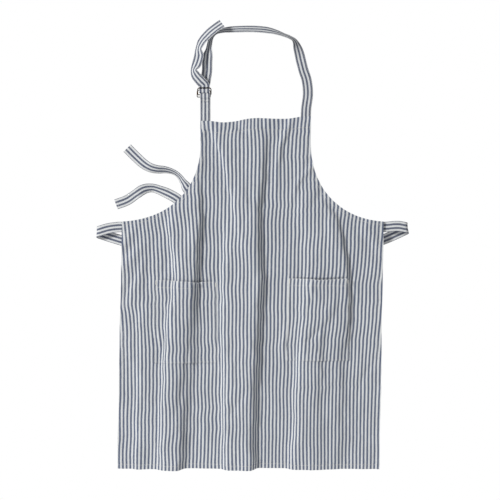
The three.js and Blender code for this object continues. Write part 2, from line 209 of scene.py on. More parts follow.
def srgb(red, green, blue):
    """A colour given as 8-bit sRGB, made linear."""
    return tuple(((c / 255 + 0.055) / 1.055) ** 2.4 for c in (red, green, blue)) + (1.0,)


STRIPE_REPEAT = 10.1
BLUE_SHARE = 0.52
YARN_PITCH = 0.52
STRIPE_WANDER = 0.45
BLUE = srgb(37, 56, 96)
BLUE_FADED = srgb(66, 86, 123)
TAPE_BLUE = srgb(34, 48, 86)
TAPE_BLUE_FADED = srgb(60, 74, 108)
ECRU = srgb(236, 239, 241)
ECRU_DEEP = srgb(223, 224, 222)
# Painted highlight: the paler colour painted along a pocket mouth's folded edge, standing in for light catching
# it.
PAINTED_HIGHLIGHT_COLOUR = srgb(250, 250, 249)


def cloth_material(name, blue=BLUE, blue_faded=BLUE_FADED):
    """Plain weave with dyed warp stripes. The point attribute "weave" holds the cloth's own
    millimetres across and along, and a number that differs from piece to piece."""
    material = bpy.data.materials.new(name)
    n = Nodes(material)
    weave = n.new("ShaderNodeAttribute", attribute_name="weave")
    split = n.new("ShaderNodeSeparateXYZ", {"Vector": weave.outputs["Vector"]})
    across, along, piece = split.outputs

    def times(value, factor):
        return n.math("MULTIPLY", value, factor)

    def add(a, b):
        return n.math("ADD", a, b)

    def less(a, b):
        return n.math("SUBTRACT", a, b)

    def uneven(across_scale, along_scale, detail=2.0):
        place = n.new("ShaderNodeCombineXYZ",
                      {"X": times(across, across_scale), "Y": times(along, along_scale), "Z": piece})
        return n.noise(place.outputs[0], detail=detail)

    # The stripe's edge wanders a little, as yarns do.
    moved = n.math("MULTIPLY_ADD", uneven(0.12, 0.09, 3.0), 2 * STRIPE_WANDER, less(across, STRIPE_WANDER))
    turns = n.math("DIVIDE", moved, STRIPE_REPEAT)
    centred = less(n.math("FRACT", add(turns, 0.5)), 0.5)
    off_centre = times(n.math("ABSOLUTE", centred), STRIPE_REPEAT)
    half = STRIPE_REPEAT * BLUE_SHARE / 2
    blue_part = n.ramp(off_centre, half - 0.3, half + 0.3, 1.0, 0.0)

    # Yarns over and under.
    warp, weft = (n.math("SINE", times(value, 2 * math.pi / YARN_PITCH)) for value in (across, along))
    crossing = times(warp, weft)
    warp_on_top = n.ramp(crossing, -0.5, 0.5)

    # Slubs: yarns that are thicker or paler for a stretch, along both directions.
    warp_slub = uneven(1.9, 0.035)
    weft_slub = uneven(0.04, 1.7)
    fade = n.ramp(add(times(warp_slub, 0.6), times(weft_slub, 0.4)), 0.35, 0.68)
    blue = n.mix(fade, blue, blue_faded)
    ecru = n.mix(n.ramp(weft_slub, 0.4, 0.75), ECRU, ECRU_DEEP)
    # A weft yarn is ecru everywhere, so it shows as flecks across a blue stripe.
    fleck = times(less(1.0, warp_on_top), 0.3)
    striped = n.mix(times(blue_part, less(1.0, fleck)), ecru, blue)
    # Painted highlight: along a pocket mouth's folded edge the colour is painted paler, more on the ecru yarns
    # than on the blue, standing in for light catching the edge; the point attribute read here says how much.
    painted_highlight = n.new("ShaderNodeAttribute", attribute_name="painted_highlight")
    pale = times(painted_highlight.outputs["Fac"], n.ramp(blue_part, 0.0, 1.0, 0.8, 0.2))
    washed = n.ramp(uneven(0.015, 0.012, 3.0), 0.3, 0.7, 0.94, 1.0)
    toned = n.new("ShaderNodeVectorMath", {0: n.mix(pale, striped, PAINTED_HIGHLIGHT_COLOUR), 1: washed}, operation="MULTIPLY")
    n.bump(add(times(n.math("ABSOLUTE", crossing), 0.6), times(add(warp_slub, weft_slub), 0.8)), 0.35, 0.00025)
    n.shade({"Base Color": toned.outputs[0], "Roughness": n.ramp(warp_slub, 0.3, 0.7, 0.82, 0.95),
             "Specular IOR Level": 0.25, "Sheen Weight": 0.12, "Sheen Roughness": 0.5})
    return material


def thread_material():
    """Twisted sewing thread."""
    material = bpy.data.materials.new("sewing_thread")
    n = Nodes(material)
    sockets = {"Vector": n.object_place(), "Scale": 900.0, "Distortion": 1.5}
    twist = n.new("ShaderNodeTexWave", sockets).outputs["Fac"]
    n.bump(twist, 0.3, 0.0001)
    n.shade({"Base Color": n.mix(twist, srgb(232, 229, 221), srgb(250, 248, 243)),
             "Roughness": n.ramp(twist, 0.0, 1.0, 0.6, 0.75), "Sheen Weight": 0.2})
    return material


def brass_material():
    """Antique brass: dark brown in the hollows, polished brighter where it is handled."""
    material = bpy.data.materials.new("antique_brass")
    n = Nodes(material)
    patches = n.noise(n.object_place(), 140.0, 5.0, 0.65)
    n.bump(n.noise(n.object_place(), 1500.0), 0.25, 0.0001)
    n.shade({"Base Color": n.mix(n.ramp(patches, 0.42, 0.66), srgb(36, 27, 20), srgb(92, 73, 49)),
             "Roughness": n.ramp(patches, 0.3, 0.7, 0.6, 0.4), "Metallic": 1.0})
    return material


PANEL_CLOTH = cloth_material("striped_weave")
POCKET_CLOTH = cloth_material("striped_weave_pocket")
TAPE_CLOTH = cloth_material("striped_weave_tape", TAPE_BLUE, TAPE_BLUE_FADED)
THREAD = thread_material()
BRASS = brass_material()

# ---- How the cloth hangs. x and z are places seen from the front, y is the depth.

# Each fold is a line down the cloth where its surface steps back (+) or forward (-) on the way
# to the right: points of (height, place across, step, half width).
FOLDS = {
    "left_edge_rise": [(-600, -290, 0, 8), (-760, -296, -6, 6), (-958, -299, -8, 5.5), (-1138, -305, -8, 6)],
    "left_pocket_ridge": [
        (-430, -205, 0, 7), (-480, -214, -8, 5), (-525, -217, -12, 5), (-568, -209, -14, 5.5),
        (-611, -202, -14, 6), (-655, -198, -13, 7), (-700, -208, -14, 7), (-763, -220, -15, 6.5),
        (-860, -228, -16, 6), (-958, -234, -16, 6.5), (-1138, -242, -13, 8)],
    "left_crease": [
        (-395, -128, 0, 10), (-430, -130, 10, 5), (-508, -133, 20, 4.4), (-555, -139, 23, 4.4),
        (-646, -143, 24, 5.5), (-698, -147, 24, 9), (-780, -156, 24, 19), (-867, -166, 24, 23),
        (-958, -172, 22, 17), (-1028, -177, 21, 11), (-1138, -183, 20, 9)],
    "left_crease_side": [(-640, -120, 0, 9), (-700, -127, 3, 8), (-830, -140, 3, 8), (-900, -140, 0, 9)],
    "bib_diagonal": [
        (-235, -112, 0, 5), (-260, -105, -5, 3.6), (-291, -92, -8, 3.4), (-330, -79, -9, 3.4),
        (-378, -68, -9, 3.5), (-421, -57, -9, 3.6), (-473, -45, -8, 4), (-525, -36, -5, 5), (-590, -28, 0, 7)],
    "bib_left_wave": [
        (-240, -120, 0, 6), (-275, -116, 4, 5), (-330, -122, 5, 5), (-380, -128, 3, 6), (-440, -150, 0, 8)],
    "plateau_rise": [
        (-470, -62, 0, 7), (-530, -70, -8, 5.5), (-607, -78, -11, 5), (-700, -80, -13, 5.5),
        (-860, -77, -14, 5.5), (-1000, -74, -14, 5.5), (-1138, -72, -13, 7)],
    "middle_crease": [
        (-222, 44, 1, 10), (-248, 40, 4, 7), (-300, 38, 9, 6), (-347, 35, 14, 6), (-386, 31, 17, 6.5),
        (-451, 22, 21, 8), (-508, 22, 26, 9), (-555, 24, 27, 9), (-646, 29, 29, 9.5), (-755, 21, 30, 9.5),
        (-841, 19, 30, 10), (-911, 10, 31, 10), (-1138, 7, 29, 10)],
    "right_rise": [
        (-330, 125, 0, 18), (-386, 122, -5, 14), (-450, 128, -7, 14), (-600, 146, -7, 12),
        (-700, 135, -9, 10), (-780, 125, -11, 8), (-900, 115, -14, 6.5), (-1050, 108, -15, 6.5),
        (-1138, 96, -14, 8)],
    "pocket_dent": [(-690, 224, 0, 10), (-720, 216, 5, 6), (-763, 186, 7, 6), (-841, 177, 6, 7),
                    (-958, 172, 5, 10), (-1138, 186, 5, 12)],
    "pocket_dent_floor": [(-690, 240, 0, 14), (-730, 232, 5, 15), (-840, 212, 6, 17), (-930, 205, 3, 17),
                          (-1000, 200, 0, 17)],
    "right_crease": [
        (-418, 168, 0, 6), (-438, 185, 4, 5), (-481, 219, 9, 4.5), (-538, 237, 13, 4.5), (-629, 253, 16, 4.5),
        (-685, 254, 16, 4.5), (-776, 252, 14, 6),
        (-841, 242, 11, 9), (-937, 239, 9, 12), (-1028, 231, 8, 14), (-1138, 225, 8, 16)],
    "bib_shade": [(-222, 60, 5, 14), (-330, 52, 2, 14), (-400, 50, 0, 14)],
    "bib_ridge_front": [(-224, 98, -3, 6), (-260, 84, -6, 4.5), (-300, 66, -7, 4.5), (-390, 57, -6, 5),
                        (-470, 54, 0, 8)],
    "bib_ridge_back": [(-224, 112, 3, 6), (-260, 95, 7, 4), (-300, 78, 8, 3.5), (-390, 67, 6, 4.5),
                       (-470, 64, 0, 8)],
    "armhole_pull_front": [(-315, 172, 0, 5), (-347, 155, -6, 4.5), (-372, 128, -6, 4), (-391, 110, -6, 4),
                           (-430, 107, 0, 6)],
    "armhole_pull_back": [(-315, 186, 0, 5), (-347, 169, 6, 4.5), (-372, 141, 7, 4), (-391, 121, 6, 4),
                          (-430, 117, 0, 6)],
}
FOLD_SMOOTHING = 13
WANDER = 1.1
# Between folds the cloth comes back over this reach, and lies at most a little behind flat.
RETURN_REACH = 62.0
FLAT_LEVEL = 0.5
SLACK = 3.5
HANG_OFFSET = [(-220, 0.0), (-300, -1.0), (-500, -2.0), (-700, -4.0), (-1140, -5.0)]
X_GRID = np.arange(-420.0, 421.0, 1.5)
Z_GRID = np.arange(-1160.0, -199.0, 4.0)
REFERENCE_X = -31.5
FLAT_LEFT, FLAT_RIGHT = 348, 409
# Small diagonal pulls below the left tie seam, beside the right armhole and below the right tie
# seam: (place across, height, lean, size, step).
PULLS = [(-326, -541, 0.8, 13, -4.2), (-312, -566, 0.8, 12, 3.6), (-318, -592, 1.0, 15, -3.0),
         (-296, -545, 0.7, 12, -2.4), (118, -395, 0.35, 9, -2.2), (132, -380, 0.35, 9, 2.0),
         (318, -540, -0.8, 13, -2.6), (306, -560, -0.8, 12, 2.0)]
PULL_LENGTH = 60
FINE_STEP = 2.0
PROFILE_MARGIN, PROFILE_REACH = 80, 60
RIPPLES, RIPPLE_HEIGHT = 26, 0.22
WRINKLES, WRINKLE_STEEPNESS = 460, 0.19
DRIFTS = 22


def bell(reach, spread):
    """Weights that even a row out."""
    weights = np.exp(-0.5 * (reach / spread) ** 2)
    return weights / weights.sum()


def evened(row, weights):
    return np.convolve(np.pad(row, len(weights) // 2, mode="edge"), weights, mode="valid")


def smooth_profile(points, column):
    """One column of a fold's points as a smooth function of height, over Z_GRID."""
    heights, values = (np.array([p[index] for p in points][::-1], float) for index in (0, column))
    fine = np.arange(Z_GRID[0] - PROFILE_MARGIN, Z_GRID[-1] + PROFILE_MARGIN + 1, FINE_STEP)
    weights = bell(np.arange(-PROFILE_REACH, PROFILE_REACH + 1, FINE_STEP), FOLD_SMOOTHING)
    return np.interp(Z_GRID, fine, evened(np.interp(fine, heights, values), weights))


def smoothed(grid, reach):
    """Each row of a grid, evened out over a reach in grid steps."""
    size = int(3 * reach)
    weights = bell(np.arange(-size, size + 1), reach)
    return np.array([evened(row, weights) for row in grid])


def ripples(x, z):
    """Small, soft unevenness of washed cloth, the same each time."""
    rng = np.random.default_rng(7)
    total = np.zeros(np.broadcast(x, z).shape)
    for _ in range(RIPPLES):
        length_x = rng.uniform(45, 130)
        length_z = rng.uniform(110, 420)
        phase_x, phase_z = rng.uniform(0, 2 * math.pi, 2)
        lean = rng.uniform(-0.25, 0.25)
        wave = np.sin(2 * math.pi * (x + lean * z) / length_x + phase_x)
        total = total + wave * np.sin(2 * math.pi * z / length_z + phase_z) * length_x / 130
    return total * RIPPLE_HEIGHT


def armhole(bib_x, waist_x, outward):
    """The armhole's curve from the bib's side to the waist corner."""
    aims = [(bib_x, ARMHOLE_TOP), (bib_x, ARMHOLE_PULL_DOWN),
            (bib_x + outward * ARMHOLE_REACH, ARMHOLE_PULL_IN), (waist_x, WAIST_TOP)]
    t = np.linspace(0, 1, 61)[:, None]
    a, b, c, d = (np.array(p, float) for p in aims)
    return (1 - t) ** 3 * a + 3 * (1 - t) ** 2 * t * b + 3 * (1 - t) * t ** 2 * c + t ** 3 * d


ARMHOLES = {"left": armhole(BIB_LEFT, WAIST_LEFT, -1), "right": armhole(BIB_RIGHT, WAIST_RIGHT, 1)}


def skirt_edge(side, z):
    waist, hem = (WAIST_LEFT, SKIRT_LEFT) if side == "left" else (WAIST_RIGHT, SKIRT_RIGHT)
    return np.interp(-z, [-WAIST_TOP, -SKIRT_BOTTOM], [waist, hem])


def bib_top(x):
    """The bib's top edge sags between its straps and kinks at the folds."""
    places = [BIB_LEFT, -105, -75, -40, -14, 11, 55, 97, 126, BIB_RIGHT]
    drops = [-6, -6.5, -11, -7, -1, 1.5, -0.5, -0.5, 5, 6]
    fine = np.linspace(BIB_LEFT, BIB_RIGHT, 120)
    weights = np.hanning(15)
    return BIB_TOP + np.interp(x, fine, evened(np.interp(fine, places, drops), weights / weights.sum()))


def wrinkles(x, z):
    """Short soft creases that washing leaves, mostly upright, the same each time."""
    rng = np.random.default_rng(21)
    total = np.zeros(np.broadcast(x, z).shape)
    for _ in range(WRINKLES):
        at_x, at_z = rng.uniform(-370, 370), rng.uniform(-1150, -215)
        half_length, half_width = rng.uniform(14, 62), rng.uniform(3.2, 9.0)
        lean = math.radians(rng.normal(0, 22))
        height = rng.normal(0, WRINKLE_STEEPNESS) * half_width
        rows = np.abs(Z_GRID - at_z) < 3 * half_length
        columns = np.abs(X_GRID - at_x) < 3 * half_length
        block = np.ix_(rows, columns)
        dx, dz = x[block] - at_x, z[block] - at_z
        aside = dx * math.cos(lean) - dz * math.sin(lean)
        along = dx * math.sin(lean) + dz * math.cos(lean)
        aside = aside + 0.004 * along ** 2 * rng.uniform(-1, 1)
        total[block] += height * np.exp(-(aside / half_width) ** 2 - (along / half_length) ** 2)
    return total


def smooth_step(value, low, high):
    t = np.clip((value - low) / (high - low), 0, 1)
    return t * t * (3 - 2 * t)


def drift(x, z):
    """How far the stripes stray sideways, as loosely woven cloth shears, most at the top hem."""
    rng = np.random.default_rng(5)
    total = np.zeros(np.broadcast(x, z).shape)
    for _ in range(DRIFTS):
        length_x, length_z = rng.uniform(70, 260), rng.uniform(55, 240)
        phase_x, phase_z = rng.uniform(0, 2 * math.pi, 2)
        wave = np.sin(2 * math.pi * x / length_x + phase_x) * np.sin(2 * math.pi * z / length_z + phase_z)
        total = total + wave * rng.uniform(0.15, 0.6)
    near_top = smooth_step(z, -300, -250)
    lean = 2.2 * np.sin(x / 31.0) * near_top * np.clip((z - (BIB_TOP - 45)) / 45, -1, 1)
    hem_step = 1.1 * np.sin(x / 21.0 + 1) * smooth_step(z, BIB_TOP - TOP_HEM - 2, BIB_TOP - TOP_HEM + 2)
    return total * np.interp(x, [-100, 60], [0.8, 0.45]) + lean + hem_step


def build_hang():
    """Depth and cloth coordinate over the whole grid."""
    x, z = np.meshgrid(X_GRID, Z_GRID)
    depth = np.zeros_like(x)
    for points in FOLDS.values():
        place, step, half = (smooth_profile(points, column)[:, None] for column in (1, 2, 3))
        start = place[0, 0]
        wander = WANDER * (np.sin(z / 19.0 + start) + np.sin(z / 43.0 + 2 * start) + np.sin(z / 8.3))
        depth += step * (np.tanh((x - place + wander) / half) + 1) / 2
    depth -= smoothed(depth, RETURN_REACH / (X_GRID[1] - X_GRID[0]))
    depth += ripples(x, z) * np.interp(-z, [220, 260, 330, 600, 1140], [0.0, 0.25, 0.6, 1.0, 1.2])
    depth += np.interp(-z, [-p[0] for p in HANG_OFFSET], [p[1] for p in HANG_OFFSET])
    depth += wrinkles(x, z)
    past = np.clip(depth - FLAT_LEVEL, 0, None)
    depth = np.where(depth > FLAT_LEVEL, FLAT_LEVEL + SLACK * np.tanh(past / SLACK), depth)
    for place_x, place_z, lean, size, step in PULLS:
        aside = (x - place_x) - lean * (z - place_z)
        along = (z - place_z) + lean * (x - place_x)
        depth += step * np.exp(-(aside / size) ** 2 - (along / PULL_LENGTH) ** 2)
    slope = np.gradient(depth, X_GRID, axis=1)
    run = np.sqrt(1 + slope ** 2)
    arc = np.concatenate([np.zeros((len(Z_GRID), 1)),
                          np.cumsum((run[:, 1:] + run[:, :-1]) / 2 * np.diff(X_GRID), axis=1)], axis=1)
    flat = np.empty_like(arc)
    for i, height in enumerate(Z_GRID):
        left, middle, right = (np.interp(at, X_GRID, arc[i]) for at in (
            skirt_edge("left", height), REFERENCE_X, skirt_edge("right", height)))
        held = smooth_step(-height, 480, 950)
        scale_left = 1 + held * (FLAT_LEFT / (middle - left) - 1)
        scale_right = 1 + held * (FLAT_RIGHT / (right - middle) - 1)
        row = arc[i] - middle
        flat[i] = row * np.where(row < 0, scale_left, scale_right)
    return depth, flat + drift(x, z)


DEPTH, FLAT = build_hang()


def sample(grid, x, z):
    """Bilinear reading of a grid made over Z_GRID and X_GRID."""
    at = []
    for value, lines in ((z, Z_GRID), (x, X_GRID)):
        row = np.clip((np.asarray(value, float) - lines[0]) / (lines[1] - lines[0]), 0, len(lines) - 1.001)
        at.append((row.astype(int), row - row.astype(int)))
    (i, fi), (j, fj) = at
    top = grid[i, j] * (1 - fj) + grid[i, j + 1] * fj
    low = grid[i + 1, j] * (1 - fj) + grid[i + 1, j + 1] * fj
    return top * (1 - fi) + low * fi


SIDES = (("left", 1), ("right", -1))
SEAM_SINK, SEAM_WIDTH = 0.8, 2.4
# Puckering beside a seam: its height, how far it reaches and its pitch.
HEM_PUCKER = (0.45, 11, 17)
SIDE_PUCKER = (0.6, 9, 31)
HEM_DROP_FROM, HEM_DROP_SPAN, HEM_DROP_SHARE, HEM_DROP_LEVEL = -860, 270, 0.2, 8
POCKETS = {side: box_mm(f"{side}_pocket") for side in ("left", "right")}
# How far the mouth gapes and where, how far the panel falls back behind it, stripe shift and turn,
# the corners' drift from the plain box, and the mouth's height at its two ends.
POCKET_LOOKS = {
    "left": {"gape": 2.5, "gape_at": 0.62, "hollow": 1.3, "shift": 4.4, "turn": 0.006,
             "corners": (1.5, 3.0, 3.0, 1.0), "lean": (2, -3)},
    "right": {"gape": 4.0, "gape_at": 0.55, "hollow": 3.4, "shift": -4.6, "turn": -0.004,
              "corners": (5.0, 4.5, 0.5, 2.0), "lean": (0, 0)},
}


def mouth_bulge(t, peak):
    """0 at the pocket's sides, 1 where its mouth stands furthest open."""
    t = np.clip(t, 0, 1)
    return np.sin(math.pi * t ** (math.log(0.5) / math.log(peak))) ** 2


def mouth_span(side):
    """Where the pocket's mouth starts and ends."""
    low, high = POCKETS[side]
    out_left, out_right, _, _ = POCKET_LOOKS[side]["corners"]
    return low[0] + out_left, high[0] - out_right + 3


def mouth_height(side, x):
    """Height of the pocket's mouth, which sags where it gapes."""
    looks = POCKET_LOOKS[side]
    left, right = mouth_span(side)
    t = np.clip((np.asarray(x, float) - left) / (right - left), 0, 1)
    level = POCKETS[side][1][2] + looks["lean"][0] + (looks["lean"][1] - looks["lean"][0]) * t
    return level - looks["gape"] * 0.9 * mouth_bulge(t, looks["gape_at"])


def surface(x, z, puckered=True):
    """Depth of the panel's middle surface, puckered beside its seams."""
    y = sample(DEPTH, x, z)
    if not puckered:
        return y
    sway = np.sin(0.021 * x) * 3 + np.sin(0.013 * z) * 4
    for seam_z in (BIB_TOP - TOP_HEM, SKIRT_BOTTOM + BOTTOM_HEM):
        height, reach, pitch = HEM_PUCKER
        near = np.exp(-((z - seam_z) / reach) ** 2)
        y = y + height * near * np.sin(2 * math.pi * (x + sway) / pitch)
        y = y + SEAM_SINK * np.exp(-((z - seam_z) / SEAM_WIDTH) ** 2)
    for side, inward in SIDES:
        edge = skirt_edge(side, z) + inward * SIDE_HEM
        below = 1 / (1 + np.exp((z - WAIST_TOP + 14) / 4))
        height, reach, pitch = SIDE_PUCKER
        near = np.exp(-((x - edge) / reach) ** 2) * below
        y = y + height * near * np.sin(2 * math.pi * (z + 2 * sway) / pitch)
        y = y + SEAM_SINK * np.exp(-((x - edge) / SEAM_WIDTH) ** 2) * below
    for side, looks in POCKET_LOOKS.items():
        left, right = mouth_span(side)
        within = smooth_step(x, left, left + 50) * (1 - smooth_step(x, right - 12, right))
        above = z - mouth_height(side, x)
        y = y + looks["hollow"] * within * smooth_step(-above, -6.5, -0.5) * smooth_step(above, -60, -20)
    return y


def drop(x, z):
    """The hem hangs lower where the cloth comes forward."""
    near_hem = np.clip((HEM_DROP_FROM - np.asarray(z, float)) / HEM_DROP_SPAN, 0, 1) ** 2
    return (sample(DEPTH, x, z) + HEM_DROP_LEVEL) * HEM_DROP_SHARE * near_hem


def place(x, z, lift=0.0, puckered=True):
    """World points, in metres, of cloth at x, z that lies lift in front of the panel's middle."""
    x, z = np.asarray(x, float), np.asarray(z, float)
    step = 1.0
    y = surface(x, z, puckered)
    slope_x = (surface(x + step, z, puckered) - surface(x - step, z, puckered)) / (2 * step)
    slope_z = (surface(x, z + step, puckered) - surface(x, z - step, puckered)) / (2 * step)
    front = np.stack([slope_x, -np.ones_like(slope_x), slope_z], axis=-1)
    front /= np.linalg.norm(front, axis=-1, keepdims=True)
    points = np.stack([x, y + PANEL_MIDDLE_Y, z + drop(x, z)], axis=-1)
    lift = np.broadcast_to(np.asarray(lift, float), x.shape)[..., None]
    return (points + front * lift) * MM, front


# ---- Mesh making


def new_object(name, points, faces, material, weave=None, sharp=(), painted_highlight=None):
    mesh = bpy.data.meshes.new(name)
    mesh.from_pydata([tuple(p) for p in points], [], [tuple(f) for f in faces])
    mesh.update()
    mesh.polygons.foreach_set("use_smooth", [True] * len(mesh.polygons))
    if weave is not None:
        attribute = mesh.attributes.new("weave", "FLOAT_VECTOR", "POINT")
        attribute.data.foreach_set("vector", np.asarray(weave, np.float32).ravel())
    # A point attribute saying how much painted highlight each point gets.
    if painted_highlight is not None:
        mesh.attributes.new("painted_highlight", "FLOAT", "POINT").data.foreach_set("value", np.asarray(painted_highlight, np.float32))
    if len(sharp):
        wanted = {tuple(sorted(edge)) for edge in sharp}
        for edge in mesh.edges:
            if tuple(sorted(edge.vertices)) in wanted:
                edge.use_edge_sharp = True
    mesh.materials.append(material)
    piece = bpy.data.objects.new(name, mesh)
    bpy.context.collection.objects.link(piece)
    return piece


def cut_grid(outline, x_lines, z_lines):
    """A flat mesh inside an outline, cut along lines across and along. Returns its points, its
    faces and its boundary edges, each going round with the face on its left."""
    cloth = bmesh.new()
    cloth.faces.new([cloth.verts.new((x, 0, z)) for x, z in outline])
    for lines, normal, index in ((x_lines, (1, 0, 0), 0), (z_lines, (0, 0, 1), 2)):
        for value in lines:
            at = [0, 0, 0]
            at[index] = value
            geometry = cloth.verts[:] + cloth.edges[:] + cloth.faces[:]
            bmesh.ops.bisect_plane(cloth, geom=geometry, dist=0.02, plane_co=at, plane_no=normal)
    bmesh.ops.remove_doubles(cloth, verts=cloth.verts[:], dist=0.15)
    cloth.normal_update()
    cloth.verts.index_update()
    points = np.array([(v.co.x, v.co.z) for v in cloth.verts])
    faces = []
    for face in cloth.faces:
        order = [v.index for v in face.verts]
        faces.append(order[::-1] if face.normal.y > 0 else order)
    # A dict keeps the edges in the order they are met.
    edges = dict.fromkeys(pair for face in faces for pair in zip(face, face[1:] + face[:1]))
    rim = [(a, b) for a, b in edges if (b, a) not in edges]
    cloth.free()
    return points, faces, rim


LEAST_GAP = 0.9
PANEL_PITCH, HEM_PITCH, UPRIGHT_HEM_PITCH = (4.2, 6.5), (4.5, 6.5), (4.5, 8)
MOUTH_STEP = 1.5


def lines_between(low, high, pitch, extra=()):
    """Cutting lines about pitch apart, with extra ones, none crowded together."""
    base = list(np.arange(low + pitch, high, pitch))
    for value in extra:
        base = [line for line in base if abs(line - value) > LEAST_GAP] + [value]
    return sorted(base)


def around(value):
    """Cutting lines that let a seam at this value sink."""
    return [value - 4, value - 1.8, value, value + 1.8, value + 4]


def tube_faces(rings, sides, closed=False):
    """Four-sided faces between rings of points; closed joins the last ring to the first."""
    faces = []
    for i in range(rings if closed else rings - 1):
        here, ahead = i * sides, (i + 1) % rings * sides
        for k in range(sides):
            faces.append((here + k, ahead + k, ahead + (k + 1) % sides, here + (k + 1) % sides))
    return faces


def attach(piece, slot, body, *nodes):
    """Hide the CAD nodes that a piece stands for and let the body carry it; what it is made of (slot) is not
    used.
    """
    if nodes:
        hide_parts(*nodes)
    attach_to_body(piece, body)
    return piece


def cloth_piece(name, outline, material, lift=0.0, thickness=CLOTH_THICKNESS, pitch=HEM_PITCH,
                extra_z=(), shift=0.0, number=0.0, puckered=True, turn=0.0, painted_highlight=None):
    """A closed sheet of cloth inside an outline, lying lift in front of the panel's middle."""
    outline = np.asarray(outline, float)
    low, high = outline.min(axis=0), outline.max(axis=0)
    points, faces, rim = cut_grid(outline, lines_between(low[0], high[0], pitch[0]),
                                  lines_between(low[1], high[1], pitch[1], extra_z))
    x, z = points[:, 0], points[:, 1]
    lifts = lift(x, z) if callable(lift) else lift
    front, _ = place(x, z, lifts + thickness / 2, puckered)
    back, _ = place(x, z, lifts - thickness / 2, puckered)
    count = len(points)
    back_rim = [(a + count, b + count) for a, b in rim]
    all_faces = faces + [[i + count for i in reversed(face)] for face in faces]
    all_faces += [(b, a, c, d) for (a, b), (c, d) in zip(rim, back_rim)]
    across = sample(FLAT, x, z) + shift + turn * z
    weave = np.stack([across, z, np.full(count, number)], axis=1)
    # How much painted highlight each point gets, for the front and the back.
    highlight_paint = None if painted_highlight is None else np.tile(painted_highlight(x, z), 2)
    return new_object(name, np.concatenate([front, back]), all_faces, material,
                      np.concatenate([weave, weave]), rim + back_rim, highlight_paint)


# ---- Stitching

STITCH_PITCH = 3.1
STITCH_LENGTH = 2.7
STITCH_RADIUS = 0.33
STITCH_SIDES = 5
STITCH_SHOULDER = 0.3
SEAM_INSET = 1.5


def stitch_mesh(frames, length=STITCH_LENGTH, radius=STITCH_RADIUS):
    """Spindles of thread; a frame is (middle, direction, outward), in metres."""
    points, faces = [], []
    n = STITCH_SIDES
    for middle, direction, outward in frames:
        aside = np.cross(direction, outward)
        start = len(points)
        for along in (-STITCH_SHOULDER, STITCH_SHOULDER):
            for k in range(n):
                angle = 2 * math.pi * k / n
                spoke = (math.cos(angle) * aside + math.sin(angle) * outward) * radius * MM
                points.append(middle + direction * along * length * MM + spoke)
        for along in (-0.5, 0.5):
            points.append(middle + direction * along * length * MM - outward * radius * 0.8 * MM)
        for k in range(n):
            a, b = start + k, start + (k + 1) % n
            faces += [(a, b, b + n, a + n), (b, a, start + 2 * n), (a + n, b + n, start + 2 * n + 1)]
    return points, faces


def seam_frames(path, front_lift, back_lift=None, puckered=True):
    """Stitch frames along a flat path, on the front and, if asked, on the back."""
    path = np.asarray(path, float)
    run = np.concatenate([[0], np.cumsum(np.linalg.norm(np.diff(path, axis=0), axis=1))])
    marks = np.arange(SEAM_INSET, run[-1] - SEAM_INSET, STITCH_PITCH)
    frames = []
    for lift, sign in ((front_lift, 1), (back_lift, -1)):
        if lift is None:
            continue
        spots = []
        for nudge in (0, -0.5, 0.5):
            x, z = (np.interp(marks + nudge, run, column) for column in path.T)
            spots.append(place(x, z, lift(x, z) if callable(lift) else lift, puckered))
        (middle, front), (before, _), (after, _) = spots
        direction = after - before
        direction /= np.linalg.norm(direction, axis=1, keepdims=True)
        frames += [(m, d, f * sign) for m, d, f in zip(middle, direction, front)]
    return frames


def stitches(name, frames, **size):
    points, faces = stitch_mesh(frames, **size)
    return new_object(name, points, faces, THREAD)


# ---- The panel and its hems

HEM_LIFT = -(CLOTH_THICKNESS + 0.25)
HEM_MARGIN = 1.5
ON_CLOTH = CLOTH_THICKNESS / 2 + 0.1


def flat_path(x, z):
    """A path seen from the front, from its places across and heights."""
    return np.stack(np.broadcast_arrays(np.asarray(x, float), np.asarray(z, float)), axis=1)


def panel_outline():
    left, right = ARMHOLES["left"], ARMHOLES["right"]
    top_x = np.linspace(BIB_RIGHT, BIB_LEFT, 60)
    heights = np.linspace(SKIRT_BOTTOM, WAIST_TOP, 40)
    left_side, right_side = (flat_path(edge_wave(side, heights), heights) for side in ("left", "right"))
    bottom = flat_path(np.linspace(SKIRT_LEFT, SKIRT_RIGHT, 60)[1:-1], SKIRT_BOTTOM)
    return np.concatenate([left_side[:1], bottom, right_side, right[::-1][1:], flat_path(top_x, bib_top(top_x)),
                           left[:-1], left_side[::-1][:-1]])


def edge_wave(side, z):
    """The skirt's side edge, which wavers a little."""
    wave = 0.5 * np.sin(z / 47.0 + (2.6 if side == "left" else 1.9)) + 0.3 * np.sin(z / 23.0)
    ends = np.clip((WAIST_TOP - z) / 60, 0, 1) * np.clip((z - SKIRT_BOTTOM) / 60, 0, 1)
    return skirt_edge(side, z) + wave * ends


def inset_path(edge, distance):
    """A flat path moved to the left of its direction."""
    edge = np.asarray(edge, float)
    along = np.gradient(edge, axis=0)
    along /= np.linalg.norm(along, axis=1, keepdims=True)
    return edge + np.stack([-along[:, 1], along[:, 0]], axis=1) * distance


def armhole_edge(side):
    """The bib's side and armhole as one path, from the bib's top down to the waist corner."""
    x = BIB_LEFT if side == "left" else BIB_RIGHT
    return np.concatenate([flat_path(x, np.linspace(bib_top(x), ARMHOLE_TOP + 4, 8)), ARMHOLES[side]])


def strip(edge, inner):
    """The outline between a path and its inner copy."""
    return np.concatenate([edge, inner[::-1]])


